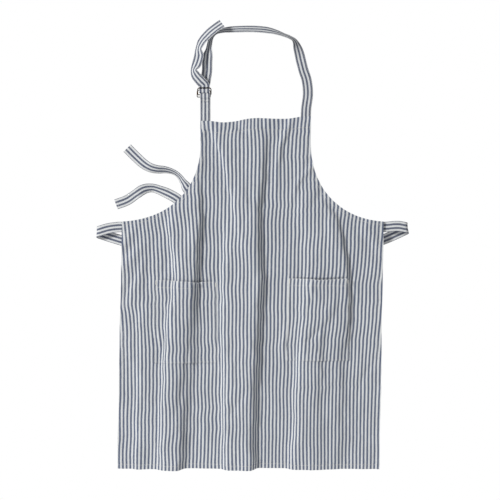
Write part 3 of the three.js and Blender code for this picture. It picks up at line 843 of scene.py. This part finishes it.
def make_panel():
    mouths = [high[2] for _, high in POCKETS.values()]
    seams = around(BIB_TOP - TOP_HEM) + around(SKIRT_BOTTOM + BOTTOM_HEM)
    seams += list(np.arange(min(mouths) - 8, max(mouths) + 9, MOUTH_STEP))
    panel = cloth_piece("panel_cloth", panel_outline(), PANEL_CLOTH, pitch=PANEL_PITCH, extra_z=seams)
    attach(panel, "striped_cloth", "panel", "apron_panel")
    outlines = {}
    for side, inward in SIDES:
        edge = armhole_edge(side)
        outlines[f"{side}_armhole_hem"] = strip(edge, inset_path(edge, inward * ARMHOLE_HEM))
        heights = np.linspace(SKIRT_BOTTOM + 1, WAIST_TOP - ARMHOLE_HEM - 1, 40)
        outer = flat_path(edge_wave(side, heights), heights)
        outlines[f"{side}_side_hem"] = strip(outer, outer + [inward * SIDE_HEM, 0])
    x = np.linspace(BIB_LEFT + ARMHOLE_HEM + 1, BIB_RIGHT - ARMHOLE_HEM - 1, 50)
    outlines["top_hem"] = strip(flat_path(x, bib_top(x)), flat_path(x, bib_top(x) - TOP_HEM))
    low = flat_path(np.linspace(SKIRT_LEFT + SIDE_HEM + 1, SKIRT_RIGHT - SIDE_HEM - 1, 60), SKIRT_BOTTOM)
    outlines["bottom_hem"] = strip(low, low + [0, BOTTOM_HEM])
    hems = []
    for index, (node, outline) in enumerate(outlines.items()):
        pitch = HEM_PITCH if node in ("top_hem", "bottom_hem") else UPRIGHT_HEM_PITCH
        hem = cloth_piece(f"{node}_cloth", outline, PANEL_CLOTH, lift=HEM_LIFT, pitch=pitch,
                          shift=4.0 + index, number=index + 1.0)
        hems.append(attach(hem, "striped_cloth", "panel", node))
    return panel, hems


def make_panel_stitching():
    x = np.linspace(BIB_LEFT + 3, BIB_RIGHT - 3, 60)
    low_x = np.linspace(SKIRT_LEFT + 3, SKIRT_RIGHT - 3, 90)
    seams = [flat_path(x, bib_top(x) - TOP_HEM + HEM_MARGIN),
             flat_path(low_x, SKIRT_BOTTOM + BOTTOM_HEM - HEM_MARGIN)]
    for side, inward in SIDES:
        seams.append(inset_path(armhole_edge(side), inward * (ARMHOLE_HEM - HEM_MARGIN)))
        heights = np.linspace(WAIST_TOP - 3, SKIRT_BOTTOM + 3, 60)
        seams.append(flat_path(edge_wave(side, heights) + inward * (SIDE_HEM - HEM_MARGIN), heights))
    frames = []
    for path in seams:
        frames += seam_frames(path, ON_CLOTH, HEM_LIFT - ON_CLOTH)
    return attach(stitches("panel_stitching", frames), "stitch_thread", "panel")


# ---- Patch pockets

POCKET_LIFT = CLOTH_THICKNESS + 0.15
POCKET_SEAM_INSET = 3.0
POCKET_PITCH = (3.6, 5.0)
POCKET_MOUTH_STEP = 1.2
POCKET_TACK_ROWS, POCKET_TACK_PITCH = 12, 0.85
# Width of the painted highlight along a pocket's mouth.
PAINTED_HIGHLIGHT_WIDTH = 2.0


def pocket_outline(side):
    """The pocket's edge: its CAD box, with corners and mouth as the well-used cloth has them."""
    low, high = POCKETS[side]
    _, _, out_left, out_right = POCKET_LOOKS[side]["corners"]
    mouth = pocket_mouth(side)
    t = np.linspace(0, 1, 24)[:-1, None]
    low_left, low_right = np.array([low[0] - out_left, low[2]]), np.array([high[0] + out_right, low[2]])
    left, right, base = (a + (b - a) * t for a, b in (
        (low_left, mouth[0]), (mouth[-1], low_right), (low_right, low_left)))
    return np.concatenate([left, mouth[:-1], right, base])[::-1]


def pocket_mouth(side):
    x = np.linspace(*mouth_span(side), 24)
    return flat_path(x, mouth_height(side, x))


def pocket_lift(side, extra=0.0):
    """How far the pocket stands in front of the panel: most at its mouth, with a small lip there."""
    low, high = POCKETS[side]
    peak = POCKET_LOOKS[side]["gape_at"]
    gape = POCKET_LOOKS[side]["gape"]

    def lift(x, z):
        t = np.clip((np.asarray(x, float) - low[0]) / (high[0] - low[0]), 0, 1)
        down = np.clip((high[2] - np.asarray(z, float)) / 90, 0, 1)
        lip = 0.7 * np.exp(-((mouth_height(side, x) - z) / 2.2) ** 2)
        slack = 0.9 * np.sin(math.pi * t) ** 2
        return POCKET_LIFT + extra + gape * mouth_bulge(t, peak) * (1 - down) ** 2 + slack + lip

    return lift


def make_pocket(side, number):
    looks = POCKET_LOOKS[side]
    low, high = POCKETS[side]
    same = {"pitch": POCKET_PITCH, "turn": looks["turn"], "puckered": False}
    # The pocket's mouth edge gets a painted highlight, standing in for light catching the fold.
    pocket = cloth_piece(f"{side}_pocket_cloth", pocket_outline(side), POCKET_CLOTH, pocket_lift(side),
                         shift=looks["shift"], number=number, **same,
                         extra_z=list(np.arange(high[2] - 9, high[2] + 2.5, POCKET_MOUTH_STEP)),
                         painted_highlight=lambda x, z: np.exp(-((mouth_height(side, x) - z) / PAINTED_HIGHLIGHT_WIDTH) ** 2))
    mouth = pocket_mouth(side)[::-1]
    hem = cloth_piece(f"{side}_pocket_hem_cloth", strip(mouth, mouth - [0, POCKET_HEM]), POCKET_CLOTH,
                      pocket_lift(side, -CLOTH_THICKNESS), thickness=CLOTH_THICKNESS * 0.8,
                      shift=looks["shift"] + 2, number=number + 0.5, **same)
    attach(pocket, "pocket_cloth", "panel", f"{side}_pocket")
    attach(hem, "pocket_cloth", "panel", f"{side}_pocket_hem")

    # Sewn down its sides and base, and across its mouth's hem.
    front = pocket_lift(side, ON_CLOTH)
    in_left, in_right, out_left, out_right = looks["corners"]
    left_top, right_top = (high[2] + lean - 2 for lean in looks["lean"])
    left, right, base = low[0] + POCKET_SEAM_INSET, high[0] - POCKET_SEAM_INSET, low[2] + POCKET_SEAM_INSET
    sewn = [(left + in_left, left_top), (left - out_left, base), (right + out_right, base),
            (right - in_right + 3, right_top)]
    frames = []
    for a, b in zip(sewn, sewn[1:]):
        frames += seam_frames(np.linspace(a, b, 40), front, -ON_CLOTH, puckered=False)
    frames += seam_frames(np.linspace(sewn[0], sewn[-1], 50) - [0, POCKET_HEM - 3], front, puckered=False)
    seams = attach(stitches(f"{side}_pocket_stitching", frames), "stitch_thread", "panel")

    tacks = []
    slant = np.array([1.0, 0, 0.12]) / np.linalg.norm([1.0, 0, 0.12])
    corners = {"outer": sewn[0], "inner": sewn[-1]} if side == "left" else {"inner": sewn[0], "outer": sewn[-1]}
    for name, (x, top) in corners.items():
        x, z = np.full(POCKET_TACK_ROWS, x), top - 1 - POCKET_TACK_PITCH * np.arange(POCKET_TACK_ROWS)
        middle, normal = place(x, z, front(x, z) + 0.25, puckered=False)
        tack = stitches(f"{side}_pocket_{name}_bartack", [(m, slant, f) for m, f in zip(middle, normal)],
                        length=3.2, radius=0.38)
        tacks.append(attach(tack, "stitch_thread", "panel", f"{side}_pocket_{name}_tack"))
    return [pocket, hem, seams, *tacks]


# ---- Tapes: the neck strap and the ties

TAPE_WIDTH = 27
TAPE_THICKNESS = 1.5
TAPE_HALF = TAPE_WIDTH / 2
TAPE_SQUEEZE = 1.03
BARTACK_LENGTH = 22
BARTACK_THREAD = {"length": 2.8, "radius": 0.36}


def centripetal(points, samples):
    """A centripetal Catmull-Rom curve through the points, samples to a span."""
    points = np.asarray(points, float)
    ends = np.concatenate([[2 * points[0] - points[1]], points, [2 * points[-1] - points[-2]]])
    rows = []
    for span in range(len(points) - 1):
        corners = ends[span:span + 4]
        gaps = [max(np.linalg.norm(b - a), 1e-4) ** 0.5 for a, b in zip(corners, corners[1:])]
        t = np.concatenate([[0.0], np.cumsum(gaps)])
        last = span == len(points) - 2
        for s in np.linspace(t[1], t[2], samples + 1)[:None if last else -1]:
            level = corners
            for knots in (((0, 1), (1, 2), (2, 3)), ((0, 2), (1, 3)), ((1, 2),)):
                level = [((t[j] - s) * a + (s - t[i]) * b) / (t[j] - t[i])
                         for (i, j), a, b in zip(knots, level, level[1:])]
            rows.append(level[0])
    return np.array(rows)


class Tape:
    """A flat tape along stations of (place, direction across), sampled finely."""

    def __init__(self, stations, samples=10):
        self.middle = centripetal([at for at, _ in stations], samples)
        wide = centripetal([w for _, w in stations], samples)
        along = np.gradient(self.middle, axis=0)
        self.along = along / np.linalg.norm(along, axis=1, keepdims=True)
        wide = wide - (wide * self.along).sum(axis=1, keepdims=True) * self.along
        self.wide = wide / np.linalg.norm(wide, axis=1, keepdims=True)
        self.thick = np.cross(self.along, self.wide)
        steps = np.linalg.norm(np.diff(self.middle, axis=0), axis=1)
        self.length = np.concatenate([[0], np.cumsum(steps)])
        self.loose = np.ones((len(self.length), 1))

    def read(self, name, marks):
        """One of the tape's rows of vectors at lengths along it."""
        return np.stack([np.interp(marks, self.length, row) for row in getattr(self, name).T], axis=1)

    def part(self, start, end):
        """The same tape between two lengths along it."""
        piece = object.__new__(Tape)
        inside = (self.length > start + 0.3) & (self.length < end - 0.3)
        piece.length = np.concatenate([[start], self.length[inside], [end]])
        for name in ("middle", "along", "wide", "thick", "loose"):
            rows = self.read(name, piece.length)
            if name in ("along", "wide", "thick"):
                rows /= np.linalg.norm(rows, axis=1, keepdims=True)
            setattr(piece, name, rows)
        return piece

    def at(self, marks, across, out):
        """Points at lengths along, a distance across and out of the face, and their frames."""
        middle, along, wide, thick, loose = (
            self.read(name, marks) for name in ("middle", "along", "wide", "thick", "loose"))
        return middle + wide * across + thick * (out + cup(across, marks)[:, None] * loose), along, thick


def cup(across, along):
    """How far the tape's face curls and wavers at a place on it."""
    edge = (across / TAPE_HALF) ** 2
    return 0.35 * edge * np.sin(along / 31.0) + 0.16 * np.sin(along / 9.0 + across * 0.25)


def tape_section():
    """The tape's section as (across, out) pairs, going round: flat, with rounded edges."""
    half = TAPE_THICKNESS / 2
    face = [(across, half) for across in np.linspace(-TAPE_HALF + 0.8, TAPE_HALF - 0.8, 9)]
    edge = [(TAPE_HALF - 0.22, half * 0.7), (TAPE_HALF, 0), (TAPE_HALF - 0.22, -half * 0.7)]
    return face + edge + [(-across, -out) for across, out in face + edge]


def tape_mesh(name, tape, phase, number):
    """The tape as a closed mesh with its stripes running along it."""
    section = tape_section()
    sides, rings = len(section), len(tape.length)
    points, weave = [], []
    for i, along in enumerate(tape.length):
        for across, out in section:
            lift = out + cup(across, along) * tape.loose[i, 0]
            points.append((tape.middle[i] + tape.wide[i] * across + tape.thick[i] * lift) * MM)
            weave.append((across * TAPE_SQUEEZE + phase, along, number))
    last = (rings - 1) * sides
    faces = tube_faces(rings, sides) + [tuple(range(sides)), tuple(reversed(range(last, last + sides)))]
    sharp = [(start + k, start + (k + 1) % sides) for start in (0, last) for k in range(sides)]
    return new_object(name, points, faces, TAPE_CLOTH, weave, sharp)


def tape_stitch_frames(tape, ends=(False, False)):
    """Rows of stitches near both edges, on both faces, and across a sewn end."""
    frames = []
    faces = (TAPE_THICKNESS / 2 + 0.05, -TAPE_THICKNESS / 2 - 0.05)
    marks = np.arange(tape.length[0] + 2, tape.length[-1] - 2, STITCH_PITCH)
    marks = marks[np.interp(marks, tape.length, tape.loose[:, 0]) > 0]
    for across in (-TAPE_HALF + 2.4, TAPE_HALF - 2.4):
        for out in faces:
            middle, along, thick = tape.at(marks, across, out)
            frames += [(m * MM, a, t * np.sign(out)) for m, a, t in zip(middle, along, thick)]
    for wanted, mark in zip(ends, (tape.length[0] + 5, tape.length[-1] - 5)):
        for across in np.arange(-TAPE_HALF + 4, TAPE_HALF - 3.5, STITCH_PITCH) if wanted else ():
            for out in faces:
                middle, along, thick = tape.at(np.array([mark]), across, out)
                frames.append((middle[0] * MM, np.cross(thick[0], along[0]), thick[0] * np.sign(out)))
    return frames


def tape_piece(name, tape, phase, number, nodes, carry, ends=(False, False)):
    """A stretch of tape and its stitching, both handed to carry in the same way."""
    piece = tape_mesh(name, tape, phase, number)
    seams = stitches(f"{name}_stitching", tape_stitch_frames(tape, ends))
    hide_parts(*nodes)
    for part, slot in ((piece, "strap_cloth"), (seams, "stitch_thread")):
        carry(part)


def riding(body):
    return lambda piece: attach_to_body(piece, body)


def blending(start, end):
    start, end = tuple(np.array(start) * MM), tuple(np.array(end) * MM)
    return lambda piece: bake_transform(piece)


def bartack(name, node, centre, direction, outward, body, rows=26):
    """A dense bar of thread across a sewn end."""
    direction, outward = np.array(direction, float), np.array(outward, float)
    across = np.cross(outward, direction)
    frames = []
    for k in range(rows):
        middle = (np.array(centre, float) + direction * BARTACK_LENGTH * (k / (rows - 1) - 0.5)) * MM
        slant = across + direction * (0.25 if k % 2 else -0.25)
        frames.append((middle, slant / np.linalg.norm(slant), outward))
    attach(stitches(name, frames, **BARTACK_THREAD), "stitch_thread", body, node)


def joint_place(name):
    """A joint's place in millimetres."""
    joint = next(j for j in frame["joints"] if j["name"] == name)
    return np.array(joint["pos_m"]) / MM


STRAP_PHASE = 0.0
TIE_PHASE = STRIPE_REPEAT / 2
SHORT_STRAP_X = joint_place("front_ring_tilt")[0]
LONG_STRAP_X = sum(v[0] for v in box_mm("long_strap_tab")) / 2
STRAP_BEND = joint_place("panel_swing")
TAPE_Y = STRAP_BEND[1]
TAB_BOTTOM = box_mm("short_strap_tab")[0][2]
FRONT_BAR = joint_place("front_ring_tilt")
REAR_BAR = joint_place("rear_ring_tilt")
TAIL_BEND = joint_place("tail_flip")
TACK_Y = TAPE_Y + TAPE_THICKNESS / 2 + 0.2
FOLD_RADIUS = 3.4
FOLD_CENTRE = (1.6, FRONT_BAR[2])
TURN_RADIUS = 2.75
TURN_CENTRE = (2.9, -156.6)
BUCKLE_SHIFT = 2.2
BUCKLE_HALF_WIDTH = 40
FLAP_TACK_Z = -179.5


def half_turn(x, centre, radius, sweep, across, steps=8):
    """A turn of tape about an axis along X, as stations that start straight behind it."""
    rows = []
    for angle in (math.radians(sweep * step / steps) for step in range(steps + 1)):
        rows.append(((x, centre[0] + radius * math.cos(angle), centre[1] + radius * math.sin(angle)), across))
    return rows


def short_strap_stations():
    x, wide = SHORT_STRAP_X, (1, 0, 0)
    flap = FOLD_CENTRE[0] - FOLD_RADIUS
    sewn = TAPE_Y - TAPE_THICKNESS - 0.3
    return [
        ((x, TAPE_Y, TAB_BOTTOM), wide), ((x, TAPE_Y, -240), wide), ((x, TAPE_Y, -222), wide),
        ((x, TAPE_Y, -205), wide), ((x, TAPE_Y, -185), wide),
        *half_turn(x, FOLD_CENTRE, FOLD_RADIUS, 180, wide),
        ((x, flap, -168), wide), ((x, flap + 0.8, -171.5), wide), ((x, sewn - 1.4, -175), wide),
        ((x, sewn, -178), wide), ((x, sewn, -182), wide),
    ]


def long_strap_stations():
    flat, x = (-1, 0, 0), SHORT_STRAP_X
    up = (1, 0, 0)
    front_y = TURN_CENTRE[0] - TURN_RADIUS
    turn_x = x - BUCKLE_SHIFT
    return [
        ((LONG_STRAP_X, TAPE_Y, TAB_BOTTOM), up), ((LONG_STRAP_X, TAPE_Y, -240), up),
        ((LONG_STRAP_X, TAPE_Y, -222), up), ((141, 5.2, -200), up), ((145.6, 6, -160), up),
        ((142, 6.5, -125), up), ((134, 7, -100), up), ((127.4, 8, -74), up),
        ((121, 8, -48), (0.95, 0.3, 0)), ((111, 8, -22), (0.46, 0.83, 0.3)),
        ((98, 8, -13), (0.21, 0.88, 0.43)), ((83, 8, -7), (0.17, 0.87, 0.46)),
        ((60, 8, 0.5), (0.1, 0.78, 0.62)), ((34, 8, 5.8), (0, 0.66, 0.75)),
        ((-5, 8, 8), (0, 0.66, 0.75)), ((-50, 8, 7.2), (0, 0.68, 0.73)),
        ((-78, 8, 4.5), (-0.1, 0.8, 0.59)), ((-96, 8, -2), (-0.29, 0.86, 0.42)),
        ((-107, 8, -17), (-0.45, 0.88, 0.18)), ((-112.5, 7, -43), (-0.6, 0.8, 0.08)),
        ((-115, 6, -60), (-0.95, 0.3, 0)), ((-116.5, 5.5, -76), flat), ((-117, 5.5, -100), flat),
        ((-120.5, 5.6, -125), flat), ((turn_x, TURN_CENTRE[0] + TURN_RADIUS, -143), flat),
        *half_turn(turn_x, TURN_CENTRE, TURN_RADIUS, -180, flat),
        ((turn_x, front_y, -150), flat), ((turn_x, front_y, TAIL_BEND[2] - 2), flat),
        ((turn_x, front_y, TAIL_BEND[2] + 4), flat),
        ((-134, -3, -129), (-0.97, 0.1, -0.2)), ((-146.5, -5.5, -114), (-0.84, 0.42, -0.2)),
        ((-151, -6, -102), (-0.62, 0.74, 0)), ((-144, -4, -85), (-0.92, 0.26, 0.1)),
        ((-138.5, -3, -65), (-0.92, 0.26, 0)), ((-139, -4, -46), (-0.62, 0.74, 0.1)),
        ((-132.5, -8, -30), (-0.62, 0.55, 0.4)), ((-118, -11, -13), (-0.65, 0.45, 0.5)),
        ((-101, -13.5, 2), (-0.62, 0.4, 0.55)), ((-77.5, -14, 18.5), (-0.62, 0.4, 0.58)),
    ]


def make_neck_strap():
    bend = blending(STRAP_BEND + [0, 0, -9], STRAP_BEND + [0, 0, 9])
    flip = blending(TAIL_BEND + [0, 0, -2], TAIL_BEND + [0, 0, 8])
    tape_piece("short_strap_tape", Tape(short_strap_stations()), STRAP_PHASE, 11.0,
               ["short_strap", "short_strap_tab"], bend)
    whole = Tape(long_strap_stations())
    # Pulled tight where it turns round the ring.
    away = np.linalg.norm(whole.middle[:, 1:] - (TURN_CENTRE[0], TURN_CENTRE[1] + 5), axis=1)
    at_buckle = np.abs(whole.middle[:, 0] - SHORT_STRAP_X) < BUCKLE_HALF_WIDTH
    whole.loose = np.where(at_buckle, smooth_step(away, 10, 22), 1.0)[:, None]
    # The tail starts under the front ring's top wire.
    cut = whole.length[np.where(np.abs(whole.middle[:, 2] - (TAIL_BEND[2] - 2)) < 1.5)[0][-1]]
    tape_piece("neck_strap_tape", whole.part(0, cut), STRAP_PHASE, 12.0, ["long_strap", "long_strap_tab"], bend)
    tape_piece("strap_tail_tape", whole.part(cut, whole.length[-1]), STRAP_PHASE, 12.0, ["strap_tail"], flip,
               ends=(False, True))
    for name, x in (("short_strap", SHORT_STRAP_X), ("long_strap", LONG_STRAP_X)):
        bartack(f"{name}_bartack", f"{name}_tack", (x, TACK_Y, TAB_BOTTOM + 3), (1, 0, 0), (0, 1, 0), "panel")
    flap_front = TAPE_Y - TAPE_THICKNESS * 1.5 - 0.5
    bartack("fold_bartack", "fold_tack", (SHORT_STRAP_X, flap_front, FLAP_TACK_Z), (1, 0, 0), (0, -1, 0),
            "neck_loop", rows=8)


# ---- D-rings

RING_HALF_WIDTH = 17.3
RING_HEIGHT = 18
RING_TOP_CORNER = 5
RING_BAR_CORNER = 2.5
FRONT_WIRE, REAR_WIRE = 1.3, 1.1
FRONT_LEAN = 9
REAR_RING_SHIFT = BUCKLE_SHIFT + 1.6
WIRE_SIDES = 16


def ring_path():
    """The D-ring's middle line: a bar, short sides and a top wire with round corners."""
    path = []
    for side, z, radius, start in ((1, 0, RING_BAR_CORNER, -90), (1, RING_HEIGHT, RING_TOP_CORNER, 0),
                                   (-1, RING_HEIGHT, RING_TOP_CORNER, 90), (-1, 0, RING_BAR_CORNER, 180)):
        centre_x = side * (RING_HALF_WIDTH - radius)
        centre_z = z + radius if z == 0 else z - radius
        for angle in (math.radians(start + 90 * step / 8) for step in range(9)):
            path.append((centre_x + radius * math.cos(angle), centre_z + radius * math.sin(angle)))
    full = []
    for a, b in zip(path, path[1:] + path[:1]):
        count = max(1, int(math.dist(a, b) / 1.5))
        full += [(a[0] + (b[0] - a[0]) * k / count, a[1] + (b[1] - a[1]) * k / count) for k in range(count)]
    return np.array(full)


def make_ring(name, node, body, bar, lean, wire):
    path = ring_path()
    along = np.roll(path, -1, axis=0) - np.roll(path, 1, axis=0)
    along /= np.linalg.norm(along, axis=1, keepdims=True)
    cos, sin = math.cos(math.radians(lean)), math.sin(math.radians(lean))
    points = []
    for (x, z), (dx, dz) in zip(path, along):
        for angle in (2 * math.pi * k / WIRE_SIDES for k in range(WIRE_SIDES)):
            across, deep = wire * math.cos(angle), wire * math.sin(angle)
            high = z - dx * across
            point = np.array([x + dz * across, deep * cos - high * sin, deep * sin + high * cos])
            points.append((point + bar) * MM)
    ring = new_object(name, points, tube_faces(len(path), WIRE_SIDES, closed=True), BRASS)
    attach(ring, "ring_metal", body, node)


# ---- Waist ties

TIE_SEAM_Z = joint_place("left_tie_swing")[2]
TAB_LENGTH = 28
UPRIGHT = (0, 0, 1)


def exit_stations(joint, along):
    """Stations on the straight stretch where a tie comes out at the armhole."""
    at = joint_place(joint)
    return [(tuple(at + np.array(along) * d), (along[2], 0, -along[0])) for d in (-6, 4)]


def wrapped(centre, radius, rod, slide, out, steps=6):
    """Half a turn of tape about a rod that leans in the x, z plane, as stations. The tape slides
    down the rod by slide for each length it goes round; out is 1 at the right, -1 at the left."""
    rod = np.array([rod[0], 0.0, rod[1]])
    side, back = out * np.array([rod[2], 0.0, -rod[0]]), np.array([0.0, 1.0, 0.0])
    rows = []
    for angle in np.linspace(-math.pi / 2, math.pi / 2, steps + 1):
        spoke = math.cos(angle) * side + math.sin(angle) * back
        ahead = math.cos(angle) * back - math.sin(angle) * side
        down = slide * radius * (angle + math.pi / 2)
        rows.append((tuple(np.array(centre) + radius * spoke - down * rod), tuple(rod + slide * ahead)))
    return rows


def seam_stations(side, outward):
    """Stations from the tie's sewn end to where it leaves the panel."""
    hinge_x = joint_place(f"{side}_tie_swing")[0]
    return [((hinge_x - outward * back, TAPE_Y, TIE_SEAM_Z), UPRIGHT) for back in (TAB_LENGTH, 14, 0)]


def left_tie_stations():
    return [
        *seam_stations("left", -1), ((-351, TAPE_Y, -508.5), UPRIGHT), ((-368, 4.3, -510.5), (-0.1, 0, 1)),
        ((-383, 4.2, -514), (-0.22, 0, 0.98)),
        *wrapped((-396.3, 12.2, -518.3), 8, (0.05, 1), 0.29, -1),
        ((-378, 20.2, -531.8), (0.32, 0, 0.95)), ((-358, 19.5, -538), (0.3, 0, 0.95)),
        ((-335, 18, -545), (0.3, 0, 0.95)), ((-305, 16, -555), (0.33, 0, 0.94)),
        ((-240, 14, -582), (0.3, 0, 1)), ((-150, 14, -609), (0.28, 0, 1)), ((-85, 14, -627), (0.3, 0, 0.95)),
        ((-68, 14, -632.4), (0.3, 0, 0.95)), ((-65.2, 11.5, -632.8), (0.56, 0.33, 0.75)),
        ((-66.3, 9, -630.2), (0.83, 0, 0.56)), ((-84, 9, -604), (0.83, 0, 0.56)),
        ((-130, 9, -533), (0.84, 0, 0.55)), ((-168, 9, -470), (0.8, 0, 0.6)),
        *exit_stations("left_end_drop", (-0.7, 0, 0.71)),
        ((-217, 12.5, -422), (0.45, -0.15, 0.9)), ((-240, 15, -412), (0.35, -0.5, 0.8)),
        ((-260, 17, -406), (0.1, -0.6, 0.8)), ((-282, 16, -409), (-0.25, -0.35, 0.9)),
        ((-304, 13.5, -423), (-0.5, 0.2, 0.84)),
        ((-326, 12.5, -438), (-0.5, 0, 0.87)), ((-355, 12.5, -449), (-0.42, 0, 0.9)),
    ]


def right_tie_stations():
    return [
        *seam_stations("right", 1), ((355, TAPE_Y, -507.5), UPRIGHT), ((370, 4.4, -506), UPRIGHT),
        ((384, 4.2, -506), (0.08, 0, 1)),
        *wrapped((397.7, 12.3, -508.5), 8.1, (-0.13, 0.99), 0.31, 1),
        ((379, 20.5, -525.5), (-0.42, 0, 0.91)), ((361, 19.5, -533.5), (-0.4, 0, 0.91)),
        ((341, 17.5, -541.5), (-0.34, 0, 0.94)), ((300, 15, -554), (-0.2, 0, 0.98)),
        ((240, 14, -556), (-0.08, 0, 1)), ((120, 14, -552), (0.1, 0, 1)), ((10, 14.5, -527), (0.3, 0, 1)),
        ((-80, 18, -479), (0.55, 0, 0.85)), ((-140, 21, -438), (0.7, 0, 0.8)),
        *exit_stations("right_end_drop", (-0.64, 0, 0.77)),
        ((-180, 25, -390), (0.5, -0.72, 0.42)), ((-191, 27, -374), (0.36, -0.88, 0.32)),
        ((-205, 27, -364), (0.22, -0.88, 0.4)), ((-226, 25, -358), (0.05, -0.8, 0.6)),
        ((-247, 23, -357), (0, -0.66, 0.75)), ((-265, 22, -353), (0.2, -0.5, 0.84)),
        ((-284, 23, -342), (0.5, -0.25, 0.82)),
        ((-304, 24, -324), (0.62, -0.1, 0.78)), ((-327, 24, -301), (0.62, 0, 0.78)),
    ]


def make_tie(side, stations, outward, number):
    hinge, drop_at = joint_place(f"{side}_tie_swing"), joint_place(f"{side}_end_drop")
    whole = Tape(stations)
    bend = int(np.linalg.norm(whole.middle - drop_at, axis=1).argmin())
    root_end, end_start = TAB_LENGTH + 14.0, whole.length[bend] - 7
    along = whole.along[bend]
    seam = blending(hinge - [outward * 3, 0, 0], hinge + [outward * 8, 0, 0])
    drop_bend = blending(drop_at - along * 5, drop_at + along * 9)
    for name, node, start, end, carry, ends in (
            ("root_tape", "tie_tab", 0, root_end, seam, (True, False)),
            ("tape", "waist_tie", root_end, end_start, riding(f"{side}_tie"), (False, False)),
            ("end_tape", "tie_end", end_start, whole.length[-1], drop_bend, (False, True))):
        tape_piece(f"{side}_tie_{name}", whole.part(start, end), TIE_PHASE, number, [f"{side}_{node}"], carry,
                   ends)
    centre = (hinge[0] - outward * (TAB_LENGTH - 5), TACK_Y, TIE_SEAM_Z)
    bartack(f"{side}_tie_bartack", f"{side}_tie_tack", centre, (0, 0, 1), (0, 1, 0), "panel")


# ---- The whole apron

panel, hems = make_panel()
panel_seams = make_panel_stitching()
pockets = {side: make_pocket(side, 21.0 + i) for i, side in enumerate(("left", "right"))}
make_neck_strap()
make_ring("front_ring_wire", "front_d_ring", "front_ring", FRONT_BAR - [BUCKLE_SHIFT, 0, 0], FRONT_LEAN,
          FRONT_WIRE)
make_ring("rear_ring_wire", "rear_d_ring", "rear_ring", REAR_BAR - [REAR_RING_SHIFT, 0, 0], 0, REAR_WIRE)
make_tie("left", left_tie_stations(), -1, 13.0)
make_tie("right", right_tie_stations(), 1, 14.0)
